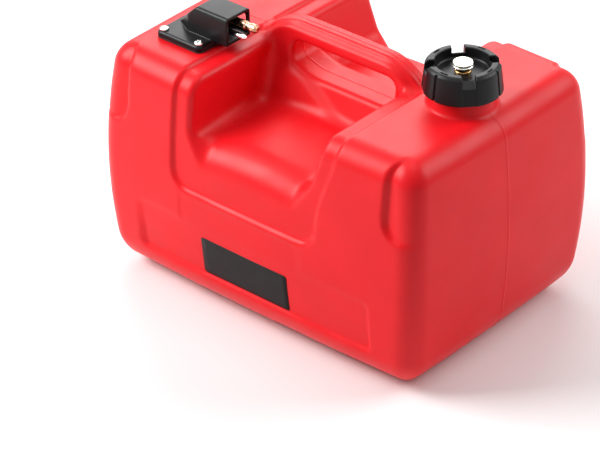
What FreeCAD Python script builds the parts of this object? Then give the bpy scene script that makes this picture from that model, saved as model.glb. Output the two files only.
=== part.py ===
import FreeCAD, Part
import math
import os
import Sketcher
from FreeCAD import Placement, Rotation, Vector

# A portable fuel tank for an outboard motor, blow moulded in one hollow piece with its handle.
# Millimetres. +Z is up, +X points to the filler cap, and the origin is the bottom centre.

# Every driving size: its name, its value and what it measures.
SIZES = [
    ("tank_length", 350.0, "tank along X at its corners, at the waist"),
    ("tank_width", 246.0, "tank along Y at its corners, at the waist"),
    ("tank_height", 218.5, "top face above the ground"),
    ("waist_height", 113.0, "height where the tank is widest"),
    ("base_inset", 5.5, "how far each side draws in at the base"),
    ("top_inset", 8.5, "how far each side draws in at the top"),
    ("side_bow", 4.2, "crown of the long sides"),
    ("end_bow", 2.4, "crown of the ends"),
    ("plan_corner", 31.0, "plan radius of the upright corners"),
    ("base_round", 27.0, "radius round the base"),
    ("top_round", 20.0, "radius round the top"),
    ("wall", 3.2, "wall of the moulding"),
    ("cavity_chamfer", 0.78, "chamfer of the cavity's edges, as a share of their radius"),
    ("seat_fit", 0.02, "gap between pieces that are pressed or screwed together"),
    ("shoulder_reach", 141.0, "distance of each shoulder's crease from the middle"),
    ("shoulder_foot", 151.0, "height of the ledge under each shoulder"),
    ("shoulder_head", 223.0, "height where each shoulder's crease would close"),
    ("shoulder_inset", 5.0, "depth of the shoulders in the long sides"),
    ("shoulder_round", 17.0, "radius of the crease where it meets the ledge"),
    ("saddle_shift", 1.0, "middle of the saddle along X"),
    ("saddle_half", 88.0, "half the saddle's width"),
    ("saddle_step", 3.4, "depth of the saddle's border step"),
    ("saddle_foot", 113.5, "height of the saddle's lower edge on the sides"),
    ("saddle_round", 18.0, "corner radius of the saddle's lower edge"),
    ("well_half", 70.0, "half the width of the hand well"),
    ("well_floor", 158.0, "floor of the hand well at its lip"),
    ("well_rise", 5.0, "rise of the floor from the lip to the bench"),
    ("well_round", 11.0, "radius between the well's floor and walls"),
    ("lip_round", 16.0, "radius of the lip where the floor turns down the side"),
    ("bench_height", 195.0, "top of the bench under the handle"),
    ("bench_half", 18.0, "half the depth of the bench"),
    ("bench_slope", 13.0, "run of the slope in front of the bench"),
    ("handle_top", 237.5, "top of the handle"),
    ("handle_under", 220.5, "underside of the handle"),
    ("handle_half", 13.0, "half the handle's depth"),
    ("rib_half", 7.0, "half the depth of the rib along the handle's top"),
    ("rib_height", 5.0, "height of that rib"),
    ("handle_round", 3.4, "radius along the handle's edges"),
    ("grip_left", -46.0, "left end of the finger gap"),
    ("grip_right", 63.5, "right end of the finger gap"),
    ("grip_round", 8.0, "corner radius of the finger gap"),
    ("bench_left", -31.0, "left end of the level bench"),
    ("handle_flat_left", -63.0, "left end of the handle's straight top"),
    ("handle_flat_right", 66.0, "right end of the handle's straight top"),
    ("handle_root", 30.0, "run of the handle's sloping ends"),
    ("panel_half", 126.0, "half the length of the lower panel"),
    ("panel_foot", 38.0, "lower edge of the lower panel"),
    ("panel_round", 8.0, "corner radius of the lower panel"),
    ("panel_head", 82.0, "height where the lower panel runs out"),
    ("panel_depth", 3.0, "depth of the lower panel at its foot"),
    ("foot_recess", 2.0, "depth of the recess under the base"),
    ("neck_place", 125.0, "filler neck's axis along X"),
    ("neck_bore", 21.0, "radius of the filler neck's bore"),
    ("neck_wall", 3.6, "wall of the filler neck"),
    ("neck_top", 240.0, "rim of the filler neck"),
    ("neck_flare", 8.0, "spread of the neck's flared base"),
    ("thread_depth", 1.3, "depth of the cap's thread"),
    ("thread_pitch", 6.0, "rise of the cap in one turn"),
    ("cap_radius", 33.8, "outside of the cap"),
    ("cap_bottom", 232.0, "lower edge of the cap"),
    ("cap_top", 256.6, "top of the cap's crown"),
    ("cap_roof", 3.0, "thickness of the cap's roof"),
    ("cap_draft", 2.6, "how much smaller the cap is at its top"),
    ("crown_wall", 7.8, "wall of the crown"),
    ("notch_width", 11.0, "width of the crown's notches"),
    ("notch_angle", 48.0, "bearing of the first notch"),
    ("flute_width", 2.4, "width of the flutes beside the notches"),
    ("flute_depth", 1.3, "depth of those flutes"),
    ("flute_angle", 35.0, "angle from a notch to its flutes"),
    ("cap_clearance", 0.35, "gap round the neck's thread inside the cap"),
    ("gasket_thick", 2.0, "thickness of the cap's gasket"),
    ("liner_thick", 1.4, "thickness of the liner disc above the gasket"),
    ("face_gap", 0.3, "gap between faces that slide or turn on each other"),
    ("vent_radius", 3.0, "radius of the vent screw"),
    ("vent_clearance", 0.06, "running gap round the vent screw"),
    ("knob_radius", 8.5, "radius of the vent knob"),
    ("knob_thick", 5.0, "thickness of the vent knob"),
    ("seat_radius", 7.0, "radius of the vent's brass seat"),
    ("seat_height", 2.6, "height of that seat above the bowl"),
    ("vent_travel", 2.5, "rise of the vent screw"),
    ("plate_place_x", -117.5, "middle of the fuel fitting's plate along X"),
    ("plate_place_y", -51.0, "middle of the fuel fitting's plate along Y"),
    ("plate_length", 50.0, "fuel fitting's plate along X"),
    ("plate_width", 60.0, "fuel fitting's plate along Y"),
    ("plate_thick", 5.2, "thickness of the plate"),
    ("plate_round", 5.0, "corner radius of the plate"),
    ("seal_thick", 1.0, "thickness of the plate's gasket"),
    ("screw_spacing_x", 39.4, "screws along X"),
    ("screw_spacing_y", 49.0, "screws along Y"),
    ("screw_radius", 2.0, "radius of the screws"),
    ("screw_gap", 0.25, "gap round each screw in the plate"),
    ("head_radius", 4.0, "radius of the screw heads"),
    ("head_height", 2.6, "height of the screw heads"),
    ("screw_length", 12.0, "length of the screws under the head"),
    ("insert_radius", 3.2, "radius of the threaded inserts"),
    ("insert_length", 7.0, "length of the threaded inserts"),
    ("boss_depth", 10.0, "depth of the moulding under the plate"),
    ("hood_width", 30.0, "hood along Y"),
    ("hood_shift", 1.5, "middle of the hood from the plate's middle, along Y"),
    ("hood_height", 25.5, "hood above the plate"),
    ("hood_left", -111.0, "hood's left end at the top"),
    ("hood_right", -76.0, "hood's open end"),
    ("hood_wall", 2.8, "wall of the hood"),
    ("hood_depth", 20.0, "depth of the hood's mouth"),
    ("hood_round", 3.6, "radius along the hood's top edges"),
    ("nose_foot", -136.0, "foot of the hood's sloping nose"),
    ("nipple_shift", 4.0, "fuel nipple's axis from the plate's middle, along Y"),
    ("nipple_drop", 9.5, "fuel nipple's axis below the hood's top"),
    ("nipple_radius", 3.9, "radius of the fuel nipple"),
    ("nipple_bore", 1.8, "radius of its bore"),
    ("nipple_tip", -56.0, "tip of the fuel nipple along X"),
    ("shank_radius", 5.4, "radius of the nipple's threaded shank"),
    ("shank_length", 11.0, "length of that shank in the housing"),
    ("collar_radius", 6.4, "radius of the nipple's collar"),
    ("collar_length", 3.0, "length of the nipple's collar"),
    ("pin_shift", -4.5, "guide pin's axis from the plate's middle, along Y"),
    ("pin_drop", 15.5, "guide pin's axis below the hood's top"),
    ("pin_radius", 2.5, "radius of the guide pin"),
    ("pin_shank", 3.1, "radius of its end inside the housing"),
    ("pin_tip", -61.5, "tip of the guide pin along X"),
    ("pin_depth", 8.0, "depth of the guide pin in the housing"),
    ("port_radius", 8.0, "radius of the port under the plate"),
    ("port_length", 16.0, "length of that port"),
    ("port_gap", 1.0, "gap round the port in the tank's hole"),
    ("tube_radius", 4.5, "outside of the pickup tube"),
    ("tube_bore", 3.0, "bore of the pickup tube"),
    ("tube_insert", 12.0, "length of the pickup tube inside the port"),
    ("strainer_radius", 9.0, "radius of the strainer"),
    ("strainer_height", 24.0, "height of the strainer"),
    ("strainer_lift", 7.0, "gap between the strainer and the tank's floor"),
    ("strainer_wall", 1.4, "wall of the strainer's frame"),
    ("strainer_collar", 6.0, "height of the strainer's collar round the tube"),
    ("mesh_thick", 0.4, "thickness of the strainer's gauze"),
    ("label_left", -53.0, "left edge of the label plate"),
    ("label_length", 95.0, "label plate along X"),
    ("label_foot", 39.5, "lower edge of the label plate"),
    ("label_height", 33.5, "height of the label plate"),
    ("label_thick", 0.5, "thickness of the label plate"),
    ("label_round", 3.0, "corner radius of the label plate"),
]


class Size:
    """A number together with the sheet expression that gives it."""

    def __init__(self, value, text):
        self.value = value
        self.text = text

    def __add__(self, other):
        other = as_size(other)
        return Size(self.value + other.value, "(%s + %s)" % (self.text, other.text))

    def __radd__(self, other):
        return as_size(other) + self

    def __sub__(self, other):
        other = as_size(other)
        return Size(self.value - other.value, "(%s - %s)" % (self.text, other.text))

    def __rsub__(self, other):
        return as_size(other) - self

    def __mul__(self, other):
        other = as_size(other)
        return Size(self.value * other.value, "(%s * %s)" % (self.text, other.text))

    def __rmul__(self, other):
        return as_size(other) * self

    def __truediv__(self, other):
        other = as_size(other)
        return Size(self.value / other.value, "(%s / %s)" % (self.text, other.text))

    def __neg__(self):
        return Size(-self.value, "(-%s)" % self.text)


def as_size(number):
    return number if isinstance(number, Size) else Size(float(number), repr(float(number)))


class Sizes:
    """The driving sizes by name."""


def write_sheet(doc):
    sheet = doc.addObject("Spreadsheet::Sheet", "Sizes")
    sizes = Sizes()
    for row, (name, value, meaning) in enumerate(SIZES, 1):
        sheet.set("A%d" % row, name)
        sheet.set("B%d" % row, repr(value))
        sheet.setAlias("B%d" % row, name)
        sheet.set("C%d" % row, meaning)
        setattr(sizes, name, Size(value, "Sizes." + name))
    doc.recompute()
    return sizes


doc = FreeCAD.newDocument("FuelTank")
size = write_sheet(doc)
XY, XZ, YZ = "XY_Plane", "XZ_Plane", "YZ_Plane"


def bind(thing, **sizes):
    """Binds properties to sheet expressions, such as Length=size.wall."""
    for name, value in sizes.items():
        thing.setExpression(name, as_size(value).text)
        setattr(thing, name, as_size(value).value)


def place(thing, x=0, y=0, z=0, rotation=None):
    """Places an object, with each coordinate bound to the sheet."""
    x, y, z = as_size(x), as_size(y), as_size(z)
    thing.Placement = Placement(Vector(x.value, y.value, z.value), rotation or Rotation())
    for axis, value in (("x", x), ("y", y), ("z", z)):
        thing.setExpression("Placement.Base." + axis, value.text)
    return thing


def new_body(label):
    body = doc.addObject("PartDesign::Body", label)
    body.Label = label
    return body


def new_sketch(body, name, plane, offset=0, turn=0.0):
    """A sketch on one of the body's own origin planes, moved along and turned round its normal."""
    sketch = body.newObject("Sketcher::SketchObject", name)
    sketch.AttachmentSupport = [(next(p for p in body.Origin.OriginFeatures if p.Role == plane), "")]
    sketch.MapMode = "FlatFace"
    offset = as_size(offset)
    sketch.AttachmentOffset = Placement(Vector(0, 0, offset.value), Rotation(Vector(0, 0, 1), turn))
    sketch.setExpression("AttachmentOffset.Base.z", offset.text)
    return sketch


def fix(sketch, kind, *where):
    """Adds a driving constraint whose last entry is a Size, and binds it."""
    *where, value = where
    value = as_size(value)
    index = sketch.addConstraint(Sketcher.Constraint(kind, *where, value.value))
    sketch.setExpression("Constraints[%d]" % index, value.text)


def fix_point(sketch, shape, point, x, y):
    fix(sketch, "DistanceX", -1, 1, shape, point, x)
    fix(sketch, "DistanceY", -1, 1, shape, point, y)


def draw_circle(sketch, x, y, radius):
    x, y, radius = as_size(x), as_size(y), as_size(radius)
    circle = Part.Circle(Vector(x.value, y.value, 0), Vector(0, 0, 1), radius.value)
    index = sketch.addGeometry(circle, False)
    fix(sketch, "Radius", index, radius)
    fix_point(sketch, index, 3, x, y)


def draw_polygon(sketch, points):
    """A closed outline of straight lines, each corner held by its two coordinates."""
    points = [(as_size(x), as_size(y)) for x, y in points]
    ends = [Vector(x.value, y.value, 0) for x, y in points]
    lines = [sketch.addGeometry(Part.LineSegment(a, b), False) for a, b in zip(ends, ends[1:] + ends[:1])]
    for line, after in zip(lines, lines[1:] + lines[:1]):
        sketch.addConstraint(Sketcher.Constraint("Coincident", line, 2, after, 1))
    for line, (x, y) in zip(lines, points):
        fix_point(sketch, line, 1, x, y)


def draw_rounded_box(sketch, left, foot, length, height, radius):
    """A rectangle with four equal round corners."""
    left, foot, length, height, radius = (as_size(v) for v in (left, foot, length, height, radius))
    x0, y0, r = left.value, foot.value, radius.value
    x1, y1 = x0 + length.value, y0 + height.value
    corners = [(x1 - r, y0 + r, -90), (x1 - r, y1 - r, 0), (x0 + r, y1 - r, 90), (x0 + r, y0 + r, 180)]
    arcs = []
    for x, y, start in corners:
        circle = Part.Circle(Vector(x, y, 0), Vector(0, 0, 1), r)
        arc = Part.ArcOfCircle(circle, math.radians(start), math.radians(start + 90))
        arcs.append(sketch.addGeometry(arc, False))
    lines = []
    for arc, after in zip(arcs, arcs[1:] + arcs[:1]):
        line = Part.LineSegment(sketch.getPoint(arc, 2), sketch.getPoint(after, 1))
        lines.append(sketch.addGeometry(line, False))
    for arc, line, after in zip(arcs, lines, arcs[1:] + arcs[:1]):
        sketch.addConstraint(Sketcher.Constraint("Tangent", arc, 2, line, 1))
        sketch.addConstraint(Sketcher.Constraint("Tangent", line, 2, after, 1))
    for index, line in enumerate(lines):
        sketch.addConstraint(Sketcher.Constraint("Horizontal" if index % 2 else "Vertical", line))
    for arc in arcs[1:]:
        sketch.addConstraint(Sketcher.Constraint("Equal", arcs[0], arc))
    fix(sketch, "Radius", arcs[0], radius)
    fix(sketch, "DistanceX", -1, 1, lines[2], 1, left)
    fix(sketch, "DistanceX", lines[2], 1, lines[0], 1, length)
    fix(sketch, "DistanceY", -1, 1, lines[3], 1, foot)
    fix(sketch, "DistanceY", lines[3], 1, lines[1], 1, height)


def pad(body, sketch, length, both=False):
    feature = body.newObject("PartDesign::Pad", sketch.Name + "Pad")
    feature.Profile = sketch
    bind(feature, Length=length)
    feature.Midplane = both
    return feature


def pocket(body, sketch, length, reverse=False, both=False):
    """A pocket that must take something away."""
    doc.recompute()
    before = body.Shape.Volume
    feature = body.newObject("PartDesign::Pocket", sketch.Name + "Pocket")
    feature.Profile = sketch
    bind(feature, Length=length)
    feature.Reversed = reverse
    feature.Midplane = both
    doc.recompute()
    if not body.Shape.Volume < before - 0.01:
        raise RuntimeError(feature.Name + " cuts nothing")
    return feature


def revolve(body, sketch, cut=False):
    kind = "PartDesign::Groove" if cut else "PartDesign::Revolution"
    feature = body.newObject(kind, sketch.Name + "Turned")
    feature.Profile = sketch
    feature.ReferenceAxis = (sketch, ["V_Axis"])
    feature.Angle = 360.0
    return feature


def repeat_round(body, features, count, angle=360.0):
    """Copies features evenly round Z."""
    pattern = body.newObject("PartDesign::PolarPattern", features[0].Name + "Round")
    pattern.Originals = features
    pattern.Axis = (next(p for p in body.Origin.OriginFeatures if p.Role == "Z_Axis"), [""])
    pattern.Angle = angle
    pattern.Occurrences = count
    body.Tip = pattern
    return pattern


def edges_where(shape, test):
    return ["Edge%d" % (i + 1) for i, edge in enumerate(shape.Edges) if test(edge)]


def dress(body, kind, edges, **sizes):
    """A fillet or a chamfer on the named edges of the body's last feature."""
    feature = body.newObject("PartDesign::" + kind, body.Tip.Name + kind)
    feature.Base = (body.Tip if body.Tip != feature else feature.BaseFeature, edges)
    bind(feature, **sizes)
    return feature


def draw_bowed_box(sketch, half_length, half_width, bow_x, bow_y, corner):
    """A rectangle with crowned sides and round corners, all its arcs tangent."""
    half_length, half_width, bow_x, bow_y, corner = map(as_size, (half_length, half_width, bow_x, bow_y, corner))
    end_radius = (half_width * half_width + bow_x * bow_x) / (2 * bow_x)
    side_radius = (half_length * half_length + bow_y * bow_y) / (2 * bow_y)
    end_middle = half_length + bow_x - end_radius
    side_middle = half_width + bow_y - side_radius
    # The corner's centre is where circles round the two big centres meet.
    p, q = Vector(end_middle.value, 0, 0), Vector(0, side_middle.value, 0)
    near, far = end_radius.value - corner.value, side_radius.value - corner.value
    along = (q - p).normalize()
    apart = (q - p).Length
    reach = (near * near - far * far + apart * apart) / (2 * apart)
    across = math.sqrt(near * near - reach * reach)
    centre = p + along * reach + Vector(along.y, -along.x, 0) * across
    if centre.x < 0 or centre.y < 0:
        centre = p + along * reach - Vector(along.y, -along.x, 0) * across
    turn_end = math.atan2(centre.y - p.y, centre.x - p.x)
    turn_side = math.atan2(centre.y - q.y, centre.x - q.x)
    pi = math.pi
    arcs = [
        (p, end_radius.value, -turn_end, turn_end),
        (centre, corner.value, turn_end, turn_side),
        (q, side_radius.value, turn_side, pi - turn_side),
        (Vector(-centre.x, centre.y, 0), corner.value, pi - turn_side, pi - turn_end),
        (-p, end_radius.value, pi - turn_end, pi + turn_end),
        (-centre, corner.value, pi + turn_end, pi + turn_side),
        (-q, side_radius.value, pi + turn_side, 2 * pi - turn_side),
        (Vector(centre.x, -centre.y, 0), corner.value, 2 * pi - turn_side, 2 * pi - turn_end),
    ]
    made = []
    for middle, radius, start, end in arcs:
        circle = Part.Circle(middle, Vector(0, 0, 1), radius)
        made.append(sketch.addGeometry(Part.ArcOfCircle(circle, start, end), False))
    for arc, after in zip(made, made[1:] + made[:1]):
        sketch.addConstraint(Sketcher.Constraint("Tangent", arc, 2, after, 1))
    fix_point(sketch, made[0], 3, end_middle, 0)
    fix_point(sketch, made[4], 3, -end_middle, 0)
    fix_point(sketch, made[2], 3, 0, side_middle)
    fix_point(sketch, made[6], 3, 0, -side_middle)
    fix(sketch, "Radius", made[0], end_radius)
    fix(sketch, "Radius", made[2], side_radius)
    fix(sketch, "Radius", made[1], corner)
    sketch.addConstraint(Sketcher.Constraint("Equal", made[0], made[4]))
    sketch.addConstraint(Sketcher.Constraint("Equal", made[2], made[6]))
    for arc in made[3::2]:
        sketch.addConstraint(Sketcher.Constraint("Equal", made[1], arc))


def barrel(label, base_in, waist_in, top_in, foot, head, base_round=None, top_round=None,
           side_in=0, plain=False):
    """The tank's rounded block, drawn in at its base, waist and top; plain gives chamfers for its radii."""
    body = new_body(label)
    levels = [(foot, size.base_inset + base_in), (size.waist_height, waist_in), (head, size.top_inset + top_in)]
    sketches = []
    for number, (height, inset) in enumerate(levels):
        sketch = new_sketch(body, "%sLevel%d" % (label, number), XY, height)
        half_length, half_width = size.tank_length / 2 - inset, size.tank_width / 2 - inset - side_in
        draw_bowed_box(sketch, half_length, half_width, size.end_bow, size.side_bow, size.plan_corner - waist_in)
        sketches.append(sketch)
    doc.recompute()
    loft = body.newObject("PartDesign::AdditiveLoft", label + "Loft")
    loft.Profile = sketches[2]
    loft.Sections = [sketches[1], sketches[0]]
    doc.recompute()
    for radius, height in ((base_round, foot), (top_round, head)):
        if radius is not None:
            level = as_size(height).value
            flat = edges_where(body.Shape, lambda edge: all(abs(v.Point.z - level) < 1e-4 for v in edge.Vertexes))
            if plain:
                dress(body, "Chamfer", flat, Size=radius * size.cavity_chamfer)
            else:
                dress(body, "Fillet", flat, Radius=radius)
            doc.recompute()
    return body


def cut(name, base, tools):
    """The base with every tool taken away, as one Part::Cut."""
    result = doc.addObject("Part::Cut", name)
    result.Base = base
    result.Tool = tools[0] if len(tools) == 1 else join(name + "Tools", tools)
    return result


def join(name, pieces):
    result = doc.addObject("Part::MultiFuse", name)
    result.Shapes = pieces
    return result


def overlap(name, pieces):
    result = doc.addObject("Part::MultiCommon", name)
    result.Shapes = pieces
    return result


def side_prism(name, outline, *arguments):
    """A prism along Y from an outline in X and Z, right through the tank."""
    body = new_body(name)
    sketch = new_sketch(body, name + "Outline", XZ)
    outline(sketch, *arguments)
    pad(body, sketch, 2 * size.tank_width, both=True)
    return body


def end_prism(name, outline, *arguments):
    """A prism along X from an outline in Y and Z, right through the tank."""
    body = new_body(name)
    sketch = new_sketch(body, name + "Outline", YZ)
    outline(sketch, *arguments)
    pad(body, sketch, 2 * size.tank_length, both=True)
    return body


def saddle_border(name, grow):
    """The shallow step that runs over the top and down both sides, round the hand well."""
    left = size.saddle_shift - size.saddle_half - grow
    foot = size.saddle_foot - grow
    window = side_prism(
        name + "Window", draw_rounded_box, left, foot, 2 * (size.saddle_half + grow),
        size.tank_height, size.saddle_round + grow)
    depth = size.saddle_step + grow
    core = barrel(name + "Core", depth, depth, depth, 0, size.tank_height - depth,
                  None, size.top_round - size.saddle_step, plain=grow.value > 0)
    return cut(name, window, [core])


def draw_well_floor(sketch, grow):
    """The space above the well's floor and bench, seen from the end."""
    side = size.tank_width
    bench, rise = size.bench_half - grow, size.well_floor + size.well_rise - grow
    foot = bench + size.bench_slope
    head = 2 * size.tank_height
    floor, top = size.well_floor - grow, size.bench_height - grow
    draw_polygon(sketch, [
        (-side, floor), (-foot, rise), (-bench, top), (bench, top),
        (foot, rise), (side, floor), (side, head), (-side, head)])


def draw_lip(sketch, grow, way):
    """The corner that the rounded lip takes off the well's floor at one side."""
    floor, radius = size.well_floor - grow, size.lip_round - grow
    face = size.tank_width / 2 + size.side_bow - size.saddle_step - grow
    bend = math.sqrt(0.5)
    inner, outer, low = as_size(face - radius), as_size(face), floor - radius
    a = Vector(way * inner.value, floor.value, 0)
    b = Vector(way * outer.value, low.value, 0)
    middle = Vector(way * (inner.value + bend * radius.value), low.value + bend * radius.value, 0)
    arc = sketch.addGeometry(Part.Arc(a, middle, b), False)
    first, last = (1, 2) if sketch.getPoint(arc, 1).distanceToPoint(a) < 1e-6 else (2, 1)
    far, roof = 2 * face, floor + radius
    path = [b, Vector(way * far.value, low.value, 0), Vector(way * far.value, roof.value, 0),
            Vector(way * inner.value, roof.value, 0), a]
    lines = [sketch.addGeometry(Part.LineSegment(p, q), False) for p, q in zip(path, path[1:])]
    for line, after in zip(lines, lines[1:]):
        sketch.addConstraint(Sketcher.Constraint("Coincident", line, 2, after, 1))
    sketch.addConstraint(Sketcher.Constraint("Coincident", arc, last, lines[0], 1))
    sketch.addConstraint(Sketcher.Constraint("Coincident", lines[-1], 2, arc, first))
    fix_point(sketch, arc, 3, way * inner, low)
    fix_point(sketch, arc, first, way * inner, floor)
    fix(sketch, "DistanceY", -1, 1, arc, last, low)
    fix_point(sketch, lines[1], 1, way * far, low)
    fix_point(sketch, lines[2], 1, way * far, roof)
    fix_point(sketch, lines[3], 1, way * inner, roof)


def hand_well(name, grow):
    """The deep well that the handle bridges, with its bench and its two rounded lips."""
    left, width = size.saddle_shift - size.well_half - grow, 2 * (size.well_half + grow)
    walls = side_prism(
        name + "Walls", draw_rounded_box, left, size.well_floor - grow, width,
        size.tank_height, size.well_round + grow)
    floor = end_prism(name + "Floor", draw_well_floor, grow)
    basin = overlap(name + "Basin", [walls, floor])
    lips = []
    for way, side in ((-1, "Front"), (1, "Back")):
        body = new_body(name + side)
        sketch = new_sketch(body, name + side + "Lip", YZ, size.saddle_shift)
        draw_lip(sketch, grow, way)
        pad(body, sketch, width, both=True)
        lips.append(body)
    return [basin] + lips


def shoulders(name, grow):
    """The step that draws the long sides in at the four upper corners."""
    foot = size.shoulder_foot - grow
    reach, height = size.tank_length / 2, size.shoulder_head - foot
    sides = []
    for way, side in ((-1, "Left"), (1, "Right")):
        near = size.shoulder_reach - grow
        left = near if way > 0 else -(near + reach)
        sides.append(side_prism(
            name + side, draw_rounded_box, left, foot, reach, height, size.shoulder_round + grow))
    spare = 1.0
    outward = grow - spare
    core = barrel(name + "Core", outward, outward, outward, 0, size.tank_height - outward,
                  None, size.top_round - grow, side_in=size.shoulder_inset + spare, plain=grow.value > 0)
    return cut(name, join(name + "Windows", sides), [core])


def panel_core(name, grow):
    """The block inside the lower panels' faces, which lean in towards the foot."""
    slope = size.panel_depth / (size.panel_head - size.panel_foot)
    base = slope * size.panel_head + grow
    waist = slope * (size.panel_head - size.waist_height) + grow
    return barrel(name, base, waist, grow, 0, size.tank_height, plain=grow.value > 0)


def lower_panels(name, grow):
    """The shallow panel low on each side, deepest at its foot."""
    half, height = size.panel_half + grow, size.panel_head - size.panel_foot
    window = side_prism(
        name + "Window", draw_rounded_box, -half, size.panel_foot - grow,
        2 * half, height + 2 * grow, size.panel_round + grow)
    return cut(name, window, [panel_core(name + "Core", grow)])


def draw_bridge(sketch, grow):
    """The handle and its roots from the side, before the finger gap is taken out."""
    top, low = size.handle_top - grow, size.bench_height - size.well_floor
    left, right = size.handle_flat_left + grow, size.handle_flat_right - grow
    root = size.handle_root
    eaves = size.tank_height - size.top_round / 2 - grow
    foot = size.well_floor - low / 2
    draw_polygon(sketch, [
        (left - root, eaves), (left - root, foot), (right + root, foot), (right + root, eaves),
        (right, top), (left, top)])


def draw_gap(sketch, grow):
    """The finger gap under the handle, with its sloping left end."""
    under, bench = size.handle_under + grow, size.bench_height - grow
    ramp = (size.handle_under - size.bench_height) / 3
    foot = size.well_floor - size.bench_height
    left, start, right = size.grip_left - grow, size.bench_left - grow, size.grip_right + grow
    draw_polygon(sketch, [
        (start, bench + foot), (right, bench + foot), (right, under), (left, under),
        (left, bench + ramp), (start, bench)])


def draw_bar(sketch, grow):
    """The handle's section: a broad bar with a narrower rib along its top."""
    half, rib = size.handle_half - grow, size.rib_half - grow
    shoulder, top = size.handle_top - size.rib_height - grow, size.handle_top - grow
    slope = size.rib_height / 3
    foot = size.well_floor / 2
    draw_polygon(sketch, [
        (-half, foot), (half, foot), (half, shoulder), (rib + slope, shoulder), (rib, top),
        (-rib, top), (-rib - slope, shoulder), (-half, shoulder)])


def bridge(name, grow):
    """The handle, cast in one with the tank, from block to block over the well."""
    side = new_body(name + "Side")
    sketch = new_sketch(side, name + "SideOutline", XZ)
    draw_bridge(sketch, grow)
    pad(side, sketch, 4 * size.handle_half, both=True)
    sketch = new_sketch(side, name + "GapOutline", XZ)
    draw_gap(sketch, grow)
    pocket(side, sketch, 4 * size.handle_half, both=True)
    section = end_prism(name + "Section", draw_bar, grow)
    if grow.value == 0:
        round_handle(side, section)
    return overlap(name, [side, section])


def round_handle(side, section):
    """Rounds the finger gap's corners and the handle's long edges."""
    doc.recompute()
    under, shoulder = size.handle_under.value, size.handle_top.value - size.rib_height.value
    corners = edges_where(side.Shape, lambda edge: all(abs(v.Point.z - under) < 1e-4 for v in edge.Vertexes)
                          and abs(edge.Vertexes[0].Point.x - edge.Vertexes[-1].Point.x) < 1e-4)
    dress(side, "Fillet", corners, Radius=size.grip_round)
    rails = edges_where(section.Shape, lambda edge: all(
        abs(v.Point.z - shoulder) < 1e-4 and abs(abs(v.Point.y) - size.handle_half.value) < 1e-4
        for v in edge.Vertexes) and abs(edge.Vertexes[0].Point.y - edge.Vertexes[-1].Point.y) < 1e-4)
    dress(section, "Fillet", rails, Radius=size.handle_round)
    doc.recompute()


def tank_form(tag, grow):
    """The whole moulding drawn in by grow, without its neck: nothing for its outside, its wall for its cavity."""
    lift = grow + (size.foot_recess if grow.value else 0)
    block = barrel(
        tag + "Block", grow, grow, grow, lift, size.tank_height - grow,
        size.base_round - grow, size.top_round - grow, plain=grow.value > 0)
    tools = [saddle_border(tag + "Saddle", grow), shoulders(tag + "Shoulders", grow)]
    tools += hand_well(tag + "Well", grow) + [lower_panels(tag + "Panels", grow)]
    return join(tag + "Form", [cut(tag + "Carved", block, tools), bridge(tag + "Bridge", grow)])


def turned(label, name, outline, x=0, y=0, z=0, rotation=None):
    """A body turned from a half outline in X and Z round its own upright axis."""
    body = new_body(label)
    sketch = new_sketch(body, name, XZ)
    draw_polygon(sketch, outline)
    revolve(body, sketch)
    place(body, x, y, z, rotation)
    return body


def neck_form():
    """The filler neck with its flared foot, as a solid that its bore is taken out of."""
    outer = size.neck_bore + size.neck_wall
    foot = size.tank_height - size.top_round / 4
    flange = size.cap_bottom - size.thread_depth
    middle = (size.tank_height + flange) / 2
    return turned("NeckForm", "NeckOutline", [
        (0, foot), (outer + size.neck_flare, foot), (outer + size.neck_flare, size.tank_height),
        (outer + size.neck_flare / 2.2, middle - 1), (outer + 2 * size.thread_depth, flange),
        (outer, size.cap_bottom), (outer, size.neck_top), (0, size.neck_top)], size.neck_place)


def round_hole(name, x, y, foot, radius, height):
    hole = doc.addObject("Part::Cylinder", name)
    bind(hole, Radius=radius, Height=height)
    return place(hole, x, y, foot)


def screw_places():
    """The four screws' places, counted round the plate."""
    for number, (way_x, way_y) in enumerate([(-1, -1), (1, -1), (1, 1), (-1, 1)]):
        x = size.plate_place_x + way_x * (size.screw_spacing_x / 2)
        y = size.plate_place_y + way_y * (size.screw_spacing_y / 2)
        yield number, x, y


def plate_prism(name, foot, height, inset):
    """A block with the plate's outline, drawn in by inset."""
    body = new_body(name)
    sketch = new_sketch(body, name + "Outline", XY)
    length, width = size.plate_length - 2 * inset, size.plate_width - 2 * inset
    draw_rounded_box(sketch, -length / 2, -width / 2, length, width, size.plate_round - inset)
    pad(body, sketch, height)
    place(body, size.plate_place_x, size.plate_place_y, foot)
    return body


hood_y = size.plate_place_y + size.hood_shift
port_x = size.plate_place_x + size.hood_depth / 4
port_y = size.plate_place_y + size.nipple_shift
plate_foot = size.tank_height + size.seal_thick
plate_top = plate_foot + size.plate_thick
hood_top = plate_top + size.hood_height
mouth_end = size.hood_right - size.hood_depth
cap_bore = size.neck_bore + size.neck_wall + size.thread_depth + size.cap_clearance
liner_foot = size.neck_top + size.gasket_thick
roof_foot = liner_foot + size.liner_thick + size.face_gap
bowl_floor = roof_foot + size.cap_roof
nipple_level = hood_top - size.nipple_drop
nipple_foot = mouth_end - size.shank_length
pin_y = size.plate_place_y + size.pin_shift
pin_level = hood_top - size.pin_drop


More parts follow.
